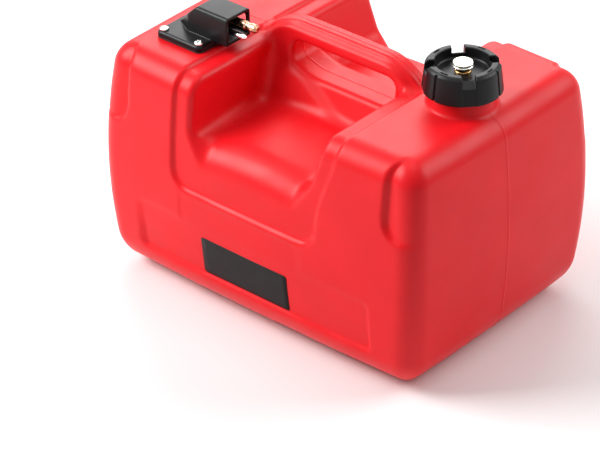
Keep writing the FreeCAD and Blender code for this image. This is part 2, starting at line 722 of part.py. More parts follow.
def tank_body():
    """The moulding: its outer form with the neck, hollowed by the same form drawn in by the wall."""
    outer = join("TankOuter", [tank_form("Outer", Size(0.0, "0.0")), neck_form()])
    pad_foot = size.tank_height - size.wall - size.boss_depth
    boss = plate_prism("FittingBoss", pad_foot, 2 * size.boss_depth, size.seal_thick)
    cavity = cut("TankCavity", tank_form("Inner", size.wall), [boss])
    neck_hole = round_hole(
        "NeckHole", size.neck_place, 0, size.tank_height - 2 * size.wall - 2, size.neck_bore, size.tank_height)
    port_hole = round_hole(
        "PortHole", port_x, port_y, pad_foot - size.wall, size.port_radius + size.port_gap, size.tank_height)
    insert_holes = [
        round_hole("InsertHole%d" % number, x, y, size.tank_height - size.insert_length,
                   size.insert_radius + size.seat_fit, size.tank_height)
        for number, x, y in screw_places()]
    recess = new_body("FootRecess")
    sketch = new_sketch(recess, "FootRecessOutline", XY, -size.foot_recess)
    half_length = size.tank_length / 2 - 2 * size.base_round
    half_width = size.tank_width / 2 - 2 * size.base_round + size.top_round / 4
    draw_rounded_box(sketch, -half_length, -half_width, 2 * half_length, 2 * half_width, size.base_round)
    pad(recess, sketch, 2 * size.foot_recess)
    return cut("tank_body", outer, [cavity, neck_hole, port_hole, recess] + insert_holes)


def filler_cap():
    """The cap: a skirt round the neck's thread and a crown with four notches round a bowl."""
    radius, bevel = size.cap_radius, size.thread_depth
    rim = radius - size.cap_draft
    bowl = rim - size.crown_wall
    hole = size.seat_radius - 2 + size.seat_fit
    rotation = Rotation(Vector(0, 0, 1), size.notch_angle.value - 45)
    cap = turned("filler_cap", "CapOutline", [
        (cap_bore, size.cap_bottom), (radius - bevel, size.cap_bottom), (radius, size.cap_bottom + 2 * bevel),
        (rim, size.cap_top - bevel), (rim - bevel / 2, size.cap_top), (bowl, size.cap_top),
        (bowl - bevel, bowl_floor), (hole, bowl_floor), (hole, roof_foot), (cap_bore, roof_foot)],
        size.neck_place, rotation=rotation)
    notch = new_sketch(cap, "Notch", XY, size.cap_top, 45)
    draw_rounded_box(
        notch, bowl - 3 * bevel, -size.notch_width / 2, size.crown_wall + 6 * bevel, size.notch_width, bevel)
    notch_cut = pocket(cap, notch, size.cap_top - bowl_floor - bevel / 4)
    repeat_round(cap, [notch_cut], 4)
    flutes = new_sketch(cap, "Flutes", XY, size.cap_top, 45)
    swing = math.radians(size.flute_angle.value)
    for way in (-1, 1):
        across, along = way * math.sin(swing), math.cos(swing)
        corners = []
        for reach, side in ((rim - size.flute_depth, -1), (radius + 1, -1), (radius + 1, 1),
                            (rim - size.flute_depth, 1)):
            half = side * size.flute_width / 2
            corners.append((along * reach - across * half, across * reach + along * half))
        draw_polygon(flutes, corners)
    flute_cut = pocket(cap, flutes, size.cap_top - size.cap_bottom)
    repeat_round(cap, [flute_cut], 4)
    slot = new_sketch(cap, "CrownSlot", XZ)
    middle = rim - size.crown_wall / 2
    draw_polygon(slot, [
        (middle - bevel / 2, size.cap_top - 2 * bevel), (middle + bevel / 2, size.cap_top - 2 * bevel),
        (middle + bevel / 2, size.cap_top + bevel), (middle - bevel / 2, size.cap_top + bevel)])
    doc.recompute()
    slot_cut = revolve(cap, slot, cut=True)
    slot_cut.Midplane = True
    slot_cut.Angle = size.flute_angle.value
    slot_cut.setExpression("Angle", size.flute_angle.text)
    doc.recompute()
    repeat_round(cap, [slot_cut], 4)
    return cap


def ring(label, inner, outer, foot, height, x=size.neck_place, y=0):
    return turned(label, label + "_outline", [
        (inner, foot), (outer, foot), (outer, foot + height), (inner, foot + height)], x, y)


def cap_pieces():
    """The gasket and liner inside the cap, and the vent: seat, screw, knob, seal and clip."""
    edge = cap_bore - size.face_gap
    seat_hole = size.vent_radius + size.vent_clearance
    seat_top = bowl_floor + size.seat_height
    knob_foot = size.cap_top - size.knob_thick
    clip_top = roof_foot - size.vent_travel - size.face_gap
    clip_thick, groove, clip_gap = size.liner_thick / 2, size.vent_radius * 0.8, size.seat_fit
    ring("cap_gasket", size.neck_bore - 1, edge, size.neck_top, size.gasket_thick)
    ring("cap_liner", size.seat_radius + 2, edge, liner_foot, size.liner_thick)
    turned("vent_seat", "VentSeatOutline", [
        (seat_hole, roof_foot), (size.seat_radius - 2, roof_foot), (size.seat_radius - 2, bowl_floor),
        (size.seat_radius, bowl_floor), (size.seat_radius, seat_top - 0.5), (size.seat_radius - 0.5, seat_top),
        (seat_hole, seat_top)], size.neck_place)
    turned("vent_screw", "VentScrewOutline", [
        (0, clip_top - 3 * clip_thick), (groove, clip_top - 3 * clip_thick),
        (size.vent_radius, clip_top - 2 * clip_thick), (size.vent_radius, clip_top - clip_thick - clip_gap),
        (groove, clip_top - clip_thick - clip_gap), (groove, clip_top + clip_gap),
        (size.vent_radius, clip_top + clip_gap), (size.vent_radius, knob_foot), (0, knob_foot)],
        size.neck_place)
    ring("vent_clip", groove + clip_gap, size.vent_radius * 1.7, clip_top - clip_thick, clip_thick)
    bevel = size.knob_thick / 8
    knob = turned("vent_knob", "VentKnobOutline", [
        (0, knob_foot), (size.knob_radius - bevel, knob_foot), (size.knob_radius, knob_foot + bevel),
        (size.knob_radius, size.cap_top - bevel), (size.knob_radius - bevel, size.cap_top), (0, size.cap_top)],
        size.neck_place)
    thick = (knob_foot - seat_top) / 2 - size.face_gap
    bend = thick * (math.sqrt(2) - 1)
    middle, level = size.vent_radius + size.face_gap + thick, seat_top + thick + size.face_gap
    sides = [(bend, thick), (thick, bend), (thick, -bend), (bend, -thick),
             (-bend, -thick), (-thick, -bend), (-thick, bend), (-bend, thick)]
    turned("vent_o_ring", "VentRingOutline", [(middle + x, level + z) for x, z in sides], size.neck_place)
    return knob


def fitting_housing():
    """The fuel fitting: a plate with a hood over the fuel nipple, and a port down into the tank."""
    body = new_body("fitting_housing")
    outline = new_sketch(body, "PlateOutline", XY, plate_foot)
    left, foot = size.plate_place_x - size.plate_length / 2, size.plate_place_y - size.plate_width / 2
    draw_rounded_box(outline, left, foot, size.plate_length, size.plate_width, size.plate_round)
    pad(body, outline, size.plate_thick)
    hood = new_sketch(body, "HoodOutline", XZ, -hood_y)
    inside = left + size.plate_length - size.plate_round
    middle = plate_foot + size.plate_thick / 2
    draw_polygon(hood, [
        (size.nose_foot, middle), (inside, middle), (inside, plate_top), (size.hood_right, plate_top),
        (size.hood_right, hood_top), (size.hood_left, hood_top), (size.nose_foot, plate_top + size.hood_wall / 2)])
    pad(body, hood, size.hood_width, both=True)
    half = size.hood_width / 2
    cheeks = new_sketch(body, "NoseCheeks", XY, hood_top)
    for way in (-1, 1):
        side = hood_y + way * half
        draw_polygon(cheeks, [
            (size.nose_foot - 1, side - way * half * 0.62), (size.nose_foot + 0.6 * size.hood_width, side + way),
            (size.nose_foot - 1, side + way)])
    pocket(body, cheeks, size.hood_height - size.seat_fit)
    doc.recompute()
    ridges = edges_where(body.Shape, lambda edge: all(
        abs(v.Point.z - hood_top.value) < 1e-4 for v in edge.Vertexes) and abs(
        edge.Vertexes[0].Point.y - edge.Vertexes[-1].Point.y) < 1e-4)
    dress(body, "Fillet", ridges, Radius=size.hood_round)
    mouth = new_sketch(body, "Mouth", YZ, size.hood_right)
    draw_rounded_box(
        mouth, hood_y - half + size.hood_wall, plate_top + size.hood_wall,
        size.hood_width - 2 * size.hood_wall, size.hood_height - 2 * size.hood_wall, size.hood_wall / 2)
    pocket(body, mouth, size.hood_depth)
    window = new_sketch(body, "LatchWindow", XZ, -hood_y - half - 1)
    draw_rounded_box(
        window, mouth_end + size.hood_wall, plate_top + 2 * size.hood_wall,
        size.hood_depth - 2 * size.hood_wall, size.hood_height - 4 * size.hood_wall, size.hood_wall)
    pocket(body, window, size.hood_wall + 2, reverse=True)
    port_foot = plate_foot - size.port_length
    port = new_sketch(body, "Port", XY, port_foot)
    draw_circle(port, port_x, port_y, size.port_radius)
    pad(body, port, size.port_length + size.plate_thick / 2)
    socket = new_sketch(body, "TubeSocket", XY, port_foot)
    draw_circle(socket, port_x, port_y, size.tube_radius + size.seat_fit)
    pocket(body, socket, size.tube_insert, reverse=True)
    riser = new_sketch(body, "Riser", XY, port_foot)
    draw_circle(riser, port_x, port_y, size.nipple_bore)
    pocket(body, riser, nipple_level - port_foot, reverse=True)
    for name, y, z, radius, depth in [
            ("ShankHole", port_y, nipple_level, size.shank_radius + size.seat_fit, size.shank_length),
            ("Passage", port_y, nipple_level, size.nipple_bore, mouth_end - port_x),
            ("PinHole", pin_y, pin_level, size.pin_shank + size.seat_fit, size.pin_depth)]:
        hole = new_sketch(body, name, YZ, mouth_end)
        draw_circle(hole, y, z, radius)
        pocket(body, hole, depth)
    for number, x, y in screw_places():
        hole = new_sketch(body, "ScrewHole%d" % number, XY, plate_top)
        draw_circle(hole, x, y, size.screw_radius + size.screw_gap)
        pocket(body, hole, 2 * size.plate_thick)
    return body


def fitting_gasket():
    """The sheet gasket between the plate and the tank."""
    body = plate_prism("fitting_gasket", size.tank_height, size.seal_thick, Size(0.0, "0.0"))
    holes = new_sketch(body, "GasketHoles", XY)
    draw_circle(holes, port_x - size.plate_place_x, port_y - size.plate_place_y, size.port_radius + size.port_gap)
    for number, x, y in screw_places():
        draw_circle(holes, x - size.plate_place_x, y - size.plate_place_y, size.screw_radius + size.screw_gap)
    pocket(body, holes, 2 * size.seal_thick, both=True)
    return body


def group(label, pieces):
    """Separate solids under one name."""
    result = doc.addObject("Part::Compound", label)
    result.Label = label
    result.Links = pieces
    return result


def plate_screws():
    """Four pan-head screws with crossed slots, and the four inserts that they turn in."""
    screws, inserts = [], []
    radius, head, rise = size.screw_radius, size.head_radius, size.head_height
    foot = size.tank_height - size.insert_length
    for number, x, y in screw_places():
        screw = turned("PlateScrew%d" % number, "ScrewOutline%d" % number, [
            (0, -size.screw_length), (radius - 0.5, -size.screw_length), (radius, 0.5 - size.screw_length),
            (radius, 0), (head, 0), (head, rise / 3), (head * 0.86, rise * 0.74), (head / 2, rise), (0, rise)],
            x, y, plate_top, Rotation(Vector(0, 0, 1), 20 + 65 * number))
        slots = new_sketch(screw, "CrossedSlots%d" % number, XY, rise)
        near, far = head * 0.14, head * 0.6
        draw_polygon(slots, [
            (far, -near), (far, near), (near, near), (near, far), (-near, far), (-near, near),
            (-far, near), (-far, -near), (-near, -near), (-near, -far), (near, -far), (near, -near)])
        pocket(screw, slots, rise * 0.6)
        screws.append(screw)
        length, bore, wide = size.insert_length, radius + size.seat_fit, size.insert_radius
        inserts.append(turned("ScrewInsert%d" % number, "InsertOutline%d" % number, [
            (bore, 0), (wide, 0), (wide, length), (bore, length)], x, y, foot))
    group("plate_screws", screws)
    return group("screw_inserts", inserts)


def fuel_nipple():
    """The brass nipple, turned round its axis along X, with a stepped tip and a cross hole."""
    shank, collar, tip = size.shank_length, size.shank_length + size.collar_length, size.nipple_tip - nipple_foot
    seat = collar + size.face_gap
    radius, neck = size.nipple_radius, size.nipple_radius * 0.8
    body = turned("fuel_nipple", "NippleOutline", [
        (size.nipple_bore, 0), (size.shank_radius - 0.6, 0), (size.shank_radius, 0.6), (size.shank_radius, shank),
        (size.collar_radius, shank), (size.collar_radius, collar - 0.5), (size.collar_radius - 0.5, collar),
        (radius + 0.6, collar), (radius, seat + 0.6), (radius, tip - 13), (neck, tip - 12), (neck, tip - 8),
        (radius, tip - 7), (radius, tip - 2.5), (radius * 0.6, tip), (size.nipple_bore / 2, tip),
        (size.nipple_bore / 2, tip - 5), (size.nipple_bore, tip - 5)],
        nipple_foot, port_y, nipple_level, Rotation(Vector(0, 1, 0), 90))
    hole = new_sketch(body, "CrossHole", XZ)
    draw_circle(hole, 0, tip - 10, size.nipple_bore * 0.6)
    pocket(body, hole, 4 * radius, both=True)
    return body


def guide_pin():
    tip, radius = size.pin_tip - mouth_end + size.pin_depth, size.pin_radius
    return turned("guide_pin", "PinOutline", [
        (0, 0), (size.pin_shank, 0), (size.pin_shank, size.pin_depth), (radius, size.pin_depth),
        (radius, tip - 3), (radius * 0.7, tip - 1), (radius * 0.3, tip), (0, tip)],
        mouth_end - size.pin_depth, pin_y, pin_level, Rotation(Vector(0, 1, 0), 90))


def pickup():
    """The pickup tube under the fitting, and the strainer at its lower end."""
    floor = size.foot_recess + size.wall + size.strainer_lift
    head = floor + size.strainer_height
    collar_foot = head - size.strainer_collar
    inner, frame = size.tube_radius + size.seat_fit, size.strainer_radius - size.strainer_wall
    tube_top = plate_foot - size.port_length + size.tube_insert
    tube = ring("pickup_tube", size.tube_bore, size.tube_radius, collar_foot + size.strainer_wall,
                tube_top - collar_foot - size.strainer_wall, port_x, port_y)
    strainer = turned("pickup_strainer", "StrainerOutline", [
        (frame, floor), (size.strainer_radius, floor), (size.strainer_radius, collar_foot),
        (inner + size.strainer_wall, collar_foot + 2 * size.strainer_wall), (inner + size.strainer_wall, head),
        (inner, head), (inner, collar_foot + size.strainer_wall), (size.tube_bore, collar_foot + size.strainer_wall),
        (size.tube_bore, collar_foot), (frame, collar_foot)], port_x, port_y)
    windows = new_sketch(strainer, "StrainerWindow", YZ)
    tall = size.strainer_height - size.strainer_collar - 3 * size.strainer_wall
    draw_rounded_box(
        windows, -0.36 * frame, floor + 1.7 * size.strainer_wall, 0.72 * frame, tall, size.strainer_wall)
    repeat_round(strainer, [pocket(strainer, windows, 2 * frame, reverse=True)], 6)
    gauze_out = frame - size.seat_fit
    ring("strainer_mesh", gauze_out - size.mesh_thick, gauze_out, floor + size.strainer_wall,
         collar_foot - floor - size.strainer_wall, port_x, port_y)
    turned("strainer_cap", "StrainerCapOutline", [
        (0, floor), (gauze_out, floor), (gauze_out, floor + size.strainer_wall),
        (0, floor + size.strainer_wall)], port_x, port_y)
    return tube


def label_plate():
    """The thin label, bent to the lower panel's face on the front."""
    window = new_body("LabelWindow")
    sketch = new_sketch(window, "LabelOutline", XZ)
    draw_rounded_box(
        sketch, size.label_left, size.label_foot, size.label_length, size.label_height, size.label_round)
    pad(window, sketch, size.tank_width)
    skin = overlap("LabelSkin", [window, panel_core("LabelFace", -size.label_thick - size.seat_fit)])
    return cut("label_plate", skin, [panel_core("LabelBack", -size.seat_fit)])


def write_solids(names):
    """Checks every object and writes each named solid to its own file."""
    doc.recompute()
    for thing in doc.Objects:
        if "Invalid" in thing.State or "Error" in thing.State:
            raise RuntimeError("%s: %s" % (thing.Name, thing.State))
    os.makedirs("parts", exist_ok=True)
    for name in names:
        shape = doc.getObject(name).Shape
        if shape.isNull() or not shape.isValid() or not shape.Solids:
            raise RuntimeError(name + " has no valid solid")
        shape.exportStep("parts/%s.step" % name)
        print("%s %d faces %.2f cm3" % (name, len(shape.Faces), shape.Volume / 1000))


tank_body()
filler_cap()
cap_pieces()
fitting_housing()
fitting_gasket()
plate_screws()
fuel_nipple()
guide_pin()
pickup()
label_plate()
write_solids([
    "tank_body", "filler_cap", "cap_gasket", "cap_liner", "vent_seat", "vent_knob", "vent_screw", "vent_o_ring",
    "vent_clip", "fitting_housing", "fitting_gasket", "plate_screws", "screw_inserts", "fuel_nipple",
    "guide_pin", "pickup_tube", "pickup_strainer", "strainer_mesh", "strainer_cap", "label_plate"])
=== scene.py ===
import math
import bpy
import numpy as np
from mathutils import Matrix, Vector


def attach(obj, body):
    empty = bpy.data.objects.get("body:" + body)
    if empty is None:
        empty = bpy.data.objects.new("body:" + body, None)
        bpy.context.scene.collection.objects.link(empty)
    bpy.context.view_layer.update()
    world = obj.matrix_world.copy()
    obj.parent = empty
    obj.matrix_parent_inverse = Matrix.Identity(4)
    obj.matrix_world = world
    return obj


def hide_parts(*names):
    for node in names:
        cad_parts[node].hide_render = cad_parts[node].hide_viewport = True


# Portable red fuel tank with a black screw cap and a black hose fitting.
# The shape functions count in millimetres, and addMesh scales them once. All else is in metres.

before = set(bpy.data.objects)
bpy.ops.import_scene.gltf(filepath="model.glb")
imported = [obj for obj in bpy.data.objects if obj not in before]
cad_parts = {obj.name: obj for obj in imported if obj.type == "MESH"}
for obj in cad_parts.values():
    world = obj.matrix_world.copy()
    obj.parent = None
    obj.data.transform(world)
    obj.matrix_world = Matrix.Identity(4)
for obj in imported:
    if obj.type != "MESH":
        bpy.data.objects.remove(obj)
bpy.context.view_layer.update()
mm = 0.001


def roundMax(a, b, radius):
    # Both solids together, with the outer corner between them rounded off to the radius.
    corner = np.hypot(np.maximum(a + radius, 0), np.maximum(b + radius, 0))
    return np.minimum(np.maximum(a, b), -radius) + corner


def roundMin(a, b, radius):
    # Either solid, with the inner corner between them filled in to the radius.
    return -roundMax(-a, -b, radius)


def ramp(value, low, high):
    # Rises smoothly from 0 at low to 1 at high.
    t = np.clip((value - low) / (high - low), 0, 1)
    return t * t * (3 - 2 * t)


def spacedPlanes(low, high, coarse, bands):
    # Grid planes with a coarse step, and a finer step inside each band (start, end, step).
    planes = [low]
    while planes[-1] < high:
        here = planes[-1]
        finer = [step for start, end, step in bands if start - coarse / 2 <= here < end]
        planes.append(here + min(finer + [coarse]))
    return np.array(planes)


def evenPlanes(low, high, step):
    # Grid planes with one step, up to the first that reaches high.
    return np.arange(low, high + step, step)


netForm = {"nudge": 0.05, "evening": 0.5, "slides": 3, "leastSteep": 0.05, "longestMove": 1.5}


def slope(field, points):
    # The field's gradient at each point, from its values a nudge ahead and a nudge behind on each axis.
    columns = []
    for axis in range(3):
        nudge = np.zeros(3)
        nudge[axis] = netForm["nudge"]
        ahead, behind = points + nudge, points - nudge
        columns.append((field(*ahead.T) - field(*behind.T)) / (2 * netForm["nudge"]))
    return np.stack(columns, axis=1)


def surfaceNet(field, xs, ys, zs, rounds=2):
    # A net over the surface where the field is zero: one point in every grid cell that the surface
    # crosses, one four-sided face round every grid edge that it crosses. The points are then evened
    # out and slid down the field's gradient until they lie on the surface.
    axes = (xs, ys, zs)
    values = field(*np.meshgrid(xs, ys, zs, indexing="ij"))
    shape = np.array(values.shape)
    cellIds, crossings, rings = [], [], []
    for axis in range(3):
        low = np.moveaxis(values, axis, 0)[:-1]
        high = np.moveaxis(values, axis, 0)[1:]
        found = np.argwhere((low < 0) != (high < 0))
        a, b = low[tuple(found.T)], high[tuple(found.T)]
        order = [axis] + [other for other in range(3) if other != axis]
        index = np.empty_like(found)
        index[:, order] = found
        share = a / (a - b)
        point = np.stack([axes[k][index[:, k]] for k in range(3)], axis=1)
        span = axes[axis][index[:, axis] + 1] - axes[axis][index[:, axis]]
        point[:, axis] += share * span
        second, third = (axis + 1) % 3, (axis + 2) % 3
        ring = []
        for back, down in ((0, 0), (1, 0), (1, 1), (0, 1)):
            cell = index.copy()
            cell[:, second] -= back
            cell[:, third] -= down
            ids = np.ravel_multi_index(tuple(cell.T), tuple(shape))
            ring.append(ids)
            cellIds.append(ids)
            crossings.append(point)
        ring = np.stack(ring, axis=1)
        facesUp = (a < 0)[:, None]
        rings.append(np.where(facesUp, ring, ring[:, ::-1]))
    cellIds, crossings, rings = (np.concatenate(part) for part in (cellIds, crossings, rings))
    used, member = np.unique(cellIds, return_inverse=True)
    count = np.bincount(member)
    points = np.stack([np.bincount(member, crossings[:, k]) / count for k in range(3)], axis=1)
    faces = np.searchsorted(used, rings)
    starts = np.concatenate([faces[:, k] for k in range(4)])
    ends = np.concatenate([faces[:, (k + 1) % 4] for k in range(4)])
    degree = np.bincount(starts, minlength=len(points))
    for turn in range(rounds + 1):
        if turn:
            sums = np.stack([np.bincount(starts, points[ends, k], len(points)) for k in range(3)], axis=1)
            points = points + netForm["evening"] * (sums / degree[:, None] - points)
        for slide in range(netForm["slides"]):
            grade = slope(field, points)
            steep = np.maximum((grade ** 2).sum(axis=1), netForm["leastSteep"])
            move = np.clip(field(*points.T) / steep, -netForm["longestMove"], netForm["longestMove"])
            points = points - move[:, None] * grade
    return points, faces


def roundedOutline(corners, steps=4):
    # A closed outline through (across, up, radius) corners, each corner replaced by an arc of its radius.
    corners = np.array(corners, dtype=float)
    befores, afters = np.roll(corners, 1, axis=0), np.roll(corners, -1, axis=0)
    points = []
    for corner, before, after in zip(corners, befores, afters):
        here, radius = corner[:2], corner[2]
        if radius == 0:
            points.append(here)
            continue
        back, ahead = before[:2] - here, after[:2] - here
        back, ahead = back / np.hypot(*back), ahead / np.hypot(*ahead)
        half = math.acos(np.clip(back @ ahead, -1, 1)) / 2
        middle = here + (back + ahead) / np.hypot(*(back + ahead)) * radius / math.sin(half)
        start, end = (here + way * radius / math.tan(half) - middle for way in (back, ahead))
        shares = np.linspace(0, 1, steps + 1)[:, None]
        spokes = start + (end - start) * shares
        points.extend(middle + spokes / np.hypot(*spokes.T)[:, None] * radius)
    return np.array(points)


def turnedSurface(outline, turns=72):
    # Carries an outline of (radius, height) points once round the upright axis. An outline that starts
    # and ends on the axis is closed there by two fans, and any other is a closed ring.
    outline = np.asarray(outline, dtype=float)
    capped = outline[0, 0] == 0
    rings = outline[1:-1] if capped else outline
    angle = np.arange(turns) * 2 * math.pi / turns
    radius, height = rings[:, :1], rings[:, 1:]
    circles = [radius * np.cos(angle), radius * np.sin(angle), height + 0 * angle]
    points = np.stack(circles, axis=2).reshape(-1, 3)
    ids = np.arange(len(points)).reshape(len(rings), turns)
    low, high = (ids[:-1], ids[1:]) if capped else (ids, np.roll(ids, -1, axis=0))
    lowAhead, highAhead = np.roll(low, -1, axis=1), np.roll(high, -1, axis=1)
    faces = np.stack([low, lowAhead, highAhead, high], axis=2).reshape(-1, 4).tolist()
    if capped:
        foot, head = len(points), len(points) + 1
        points = np.vstack([points, [[0, 0, outline[0, 1]], [0, 0, outline[-1, 1]]]])
        faces += [(foot, b, a) for a, b in zip(low[0].tolist(), lowAhead[0].tolist())]
        faces += [(head, a, b) for a, b in zip(high[-1].tolist(), highAhead[-1].tolist())]
    return points, faces


def addMesh(name, points, faces, material, body, replaced, slot, place=(0, 0, 0)):
    # Puts points in millimetres and faces, as an array or as a list, into one smooth object that rides on
    # a body and takes the place of the named solids.
    points = (points + np.array(place)) * mm
    mesh = bpy.data.meshes.new(name)
    if isinstance(faces, np.ndarray):
        mesh.vertices.add(len(points))
        mesh.vertices.foreach_set("co", points.ravel())
        mesh.loops.add(faces.size)
        mesh.loops.foreach_set("vertex_index", faces.ravel().astype(np.int32))
        mesh.polygons.add(len(faces))
        mesh.polygons.foreach_set("loop_start", np.arange(0, faces.size, faces.shape[1], dtype=np.int32))
        mesh.update(calc_edges=True)
    else:
        mesh.from_pydata(points.tolist(), [], faces)
    mesh.validate()
    mesh.shade_smooth()
    piece = bpy.data.objects.new(name, mesh)
    bpy.context.scene.collection.objects.link(piece)
    mesh.materials.append(material)
    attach(piece, body)
    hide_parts(*replaced)


# Sizes of the patterns are in metres, heights of the bumps in millimetres.
plasticRed = {
    "colour": (0.80, 0.008, 0.014), "roughness": 0.38, "specular": 0.22,
    "grain": 0.00035, "grainHeight": 0.02,
}
plasticBlack = {
    "colour": (0.007, 0.007, 0.008), "roughness": 0.33, "specular": 0.2,
    "grain": 0.0005, "grainHeight": 0.03,
}
plasticPatterns = {
    "clouds": 0.06, "shade": 0.92, "patches": 0.025, "gloss": (0.03, 0.05), "wave": 0.012, "waveHeight": 0.12,
}
metals = {
    "brass": {"colour": (0.80, 0.53, 0.24), "dull": (0.56, 0.33, 0.14),
              "roughness": 0.2, "stretch": (1, 1, 22)},
    "nippleBrass": {"colour": (0.74, 0.42, 0.27), "dull": (0.46, 0.22, 0.14),
                    "roughness": 0.17, "stretch": (22, 1, 1)},
    "knobBrass": {"colour": (0.95, 0.92, 0.84), "dull": (0.86, 0.80, 0.66),
                  "roughness": 0.24, "stretch": (1, 1, 22)},
    "zinc": {"colour": (0.82, 0.82, 0.80), "dull": (0.62, 0.61, 0.56),
             "roughness": 0.22, "stretch": (1, 1, 4)},
    "chrome": {"colour": (0.90, 0.90, 0.91), "dull": (0.78, 0.78, 0.79),
               "roughness": 0.08, "stretch": (14, 1, 1)},
    "springSteel": {"colour": (0.60, 0.60, 0.60), "dull": (0.42, 0.42, 0.42),
                    "roughness": 0.3, "stretch": (1, 1, 8)},
}
metalPatterns = {"marks": 0.004, "markHeight": 0.03, "gloss": (0.05, 0.12), "tarnish": 0.0035}
softLooks = {
    "sealRubber": {"colour": (0.018, 0.018, 0.018), "pale": (0.035, 0.034, 0.032),
                   "roughness": 0.72, "specular": 0.5, "grain": 0.0004},
    "linerWhite": {"colour": (0.70, 0.70, 0.66), "pale": (0.78, 0.78, 0.75),
                   "roughness": 0.5, "specular": 0.5, "grain": 0.0008},
    "tubeNatural": {"colour": (0.58, 0.56, 0.50), "pale": (0.68, 0.67, 0.62),
                    "roughness": 0.42, "specular": 0.5, "grain": 0.0012},
    "labelFilm": {"colour": (0.010, 0.009, 0.009), "pale": (0.014, 0.013, 0.013),
                  "roughness": 0.45, "specular": 0.18, "grain": 0.0003},
}
softPatterns = {"clouds": 0.008, "gloss": (0.06, 0.08), "grainHeight": 0.02}
gauze = {
    "place": (-0.1125, -0.047), "wires": 90, "spacing": 0.0005, "wireHeight": 0.06,
    # gap is painted shade: the dark colour of the openings between the wires
    "colour": (0.55, 0.55, 0.53), "gap": (0.05, 0.05, 0.05), "roughness": 0.35,
}


def newMaterial(name):
    # A Principled material with object coordinates ready to use.
    material = bpy.data.materials.new(name)
    material.use_nodes = True
    nodes, links = material.node_tree.nodes, material.node_tree.links
    place = nodes.new("ShaderNodeTexCoord")
    return material, nodes, links, nodes["Principled BSDF"], place.outputs["Object"]


def addNoise(nodes, links, place, size, detail=2.0, rough=0.5):
    # A noise whose blobs are about size metres across.
    noise = nodes.new("ShaderNodeTexNoise")
    noise.inputs["Scale"].default_value = 1 / size
    noise.inputs["Detail"].default_value = detail
    noise.inputs["Roughness"].default_value = rough
    links.new(place, noise.inputs["Vector"])
    return noise.outputs["Fac"]


def addRamp(nodes, links, value, stops):
    # Maps a value to colours or greys between the stops of (position, colour).
    band = nodes.new("ShaderNodeValToRGB")
    while len(band.color_ramp.elements) < len(stops):
        band.color_ramp.elements.new(0.5)
    for element, (place, colour) in zip(band.color_ramp.elements, stops):
        element.position = place
        element.color = (*colour, 1) if isinstance(colour, tuple) else (colour, colour, colour, 1)
    links.new(value, band.inputs["Fac"])
    return band.outputs["Color"]


def addGloss(nodes, links, shader, value, roughness, spread):
    # Lets the roughness follow a noise, from a little below its middle to a little above.
    stops = [(0.3, roughness - spread[0]), (0.7, roughness + spread[1])]
    links.new(addRamp(nodes, links, value, stops), shader.inputs["Roughness"])


def addBump(nodes, links, shader, height, distance, strength, below=None):
    # Bends the shading by a height, on top of another bump if there is one below.
    bump = nodes.new("ShaderNodeBump")
    bump.inputs["Distance"].default_value = distance
    bump.inputs["Strength"].default_value = strength
    links.new(height, bump.inputs["Height"])
    if below is not None:
        links.new(below, bump.inputs["Normal"])
    links.new(bump.outputs["Normal"], shader.inputs["Normal"])
    return bump.outputs["Normal"]


def addMath(nodes, links, operation, first, second=None):
    # One step of arithmetic on a socket and a socket or a number.
    step = nodes.new("ShaderNodeMath")
    step.operation = operation
    links.new(first, step.inputs[0])
    if isinstance(second, (int, float)):
        step.inputs[1].default_value = second
    elif second is not None:
        links.new(second, step.inputs[1])
    return step.outputs[0]


def mouldedPlastic(name, look):
    # Moulded plastic: one colour with faint clouds, patches of gloss, a fine grain and a slow wave.
    material, nodes, links, shader, place = newMaterial(name)
    p = plasticPatterns
    clouds = addNoise(nodes, links, place, p["clouds"], 3)
    darker = tuple(channel * p["shade"] for channel in look["colour"])
    tones = [(0.3, darker), (0.7, look["colour"])]
    links.new(addRamp(nodes, links, clouds, tones), shader.inputs["Base Color"])
    patches = addNoise(nodes, links, place, p["patches"], 4)
    addGloss(nodes, links, shader, patches, look["roughness"], p["gloss"])
    shader.inputs["Specular IOR Level"].default_value = look["specular"]
    grain = addNoise(nodes, links, place, look["grain"], 3, 0.6)
    fine = addBump(nodes, links, shader, grain, look["grainHeight"] * mm, 0.6)
    wave = addNoise(nodes, links, place, p["wave"], 2)
    addBump(nodes, links, shader, wave, p["waveHeight"] * mm, 0.5, fine)
    return material


def turnedMetal(name, look):
    # Machined metal: tool marks squeezed across the turning axis, patches of tarnish and a changing gloss.
    material, nodes, links, shader, place = newMaterial(name)
    shader.inputs["Metallic"].default_value = 1
    squeeze = nodes.new("ShaderNodeMapping")
    squeeze.inputs["Scale"].default_value = look["stretch"]
    links.new(place, squeeze.inputs["Vector"])
    p = metalPatterns
    marks = addNoise(nodes, links, squeeze.outputs["Vector"], p["marks"], 3, 0.6)
    tarnish = addNoise(nodes, links, place, p["tarnish"], 4, 0.6)
    tones = [(0.36, look["dull"]), (0.6, look["colour"])]
    links.new(addRamp(nodes, links, tarnish, tones), shader.inputs["Base Color"])
    addGloss(nodes, links, shader, marks, look["roughness"], p["gloss"])
    addBump(nodes, links, shader, marks, p["markHeight"] * mm, 0.5)
    return material


def softPlastic(name, look):
    # Rubber, film or natural plastic: two close tones in clouds and a fine grain.
    material, nodes, links, shader, place = newMaterial(name)
    p = softPatterns
    clouds = addNoise(nodes, links, place, p["clouds"], 3)
    tones = [(0.35, look["colour"]), (0.7, look["pale"])]
    links.new(addRamp(nodes, links, clouds, tones), shader.inputs["Base Color"])
    grain = addNoise(nodes, links, place, look["grain"], 3, 0.6)
    addGloss(nodes, links, shader, grain, look["roughness"], p["gloss"])
    shader.inputs["Specular IOR Level"].default_value = look["specular"]
    addBump(nodes, links, shader, grain, p["grainHeight"] * mm, 0.6)
    return material


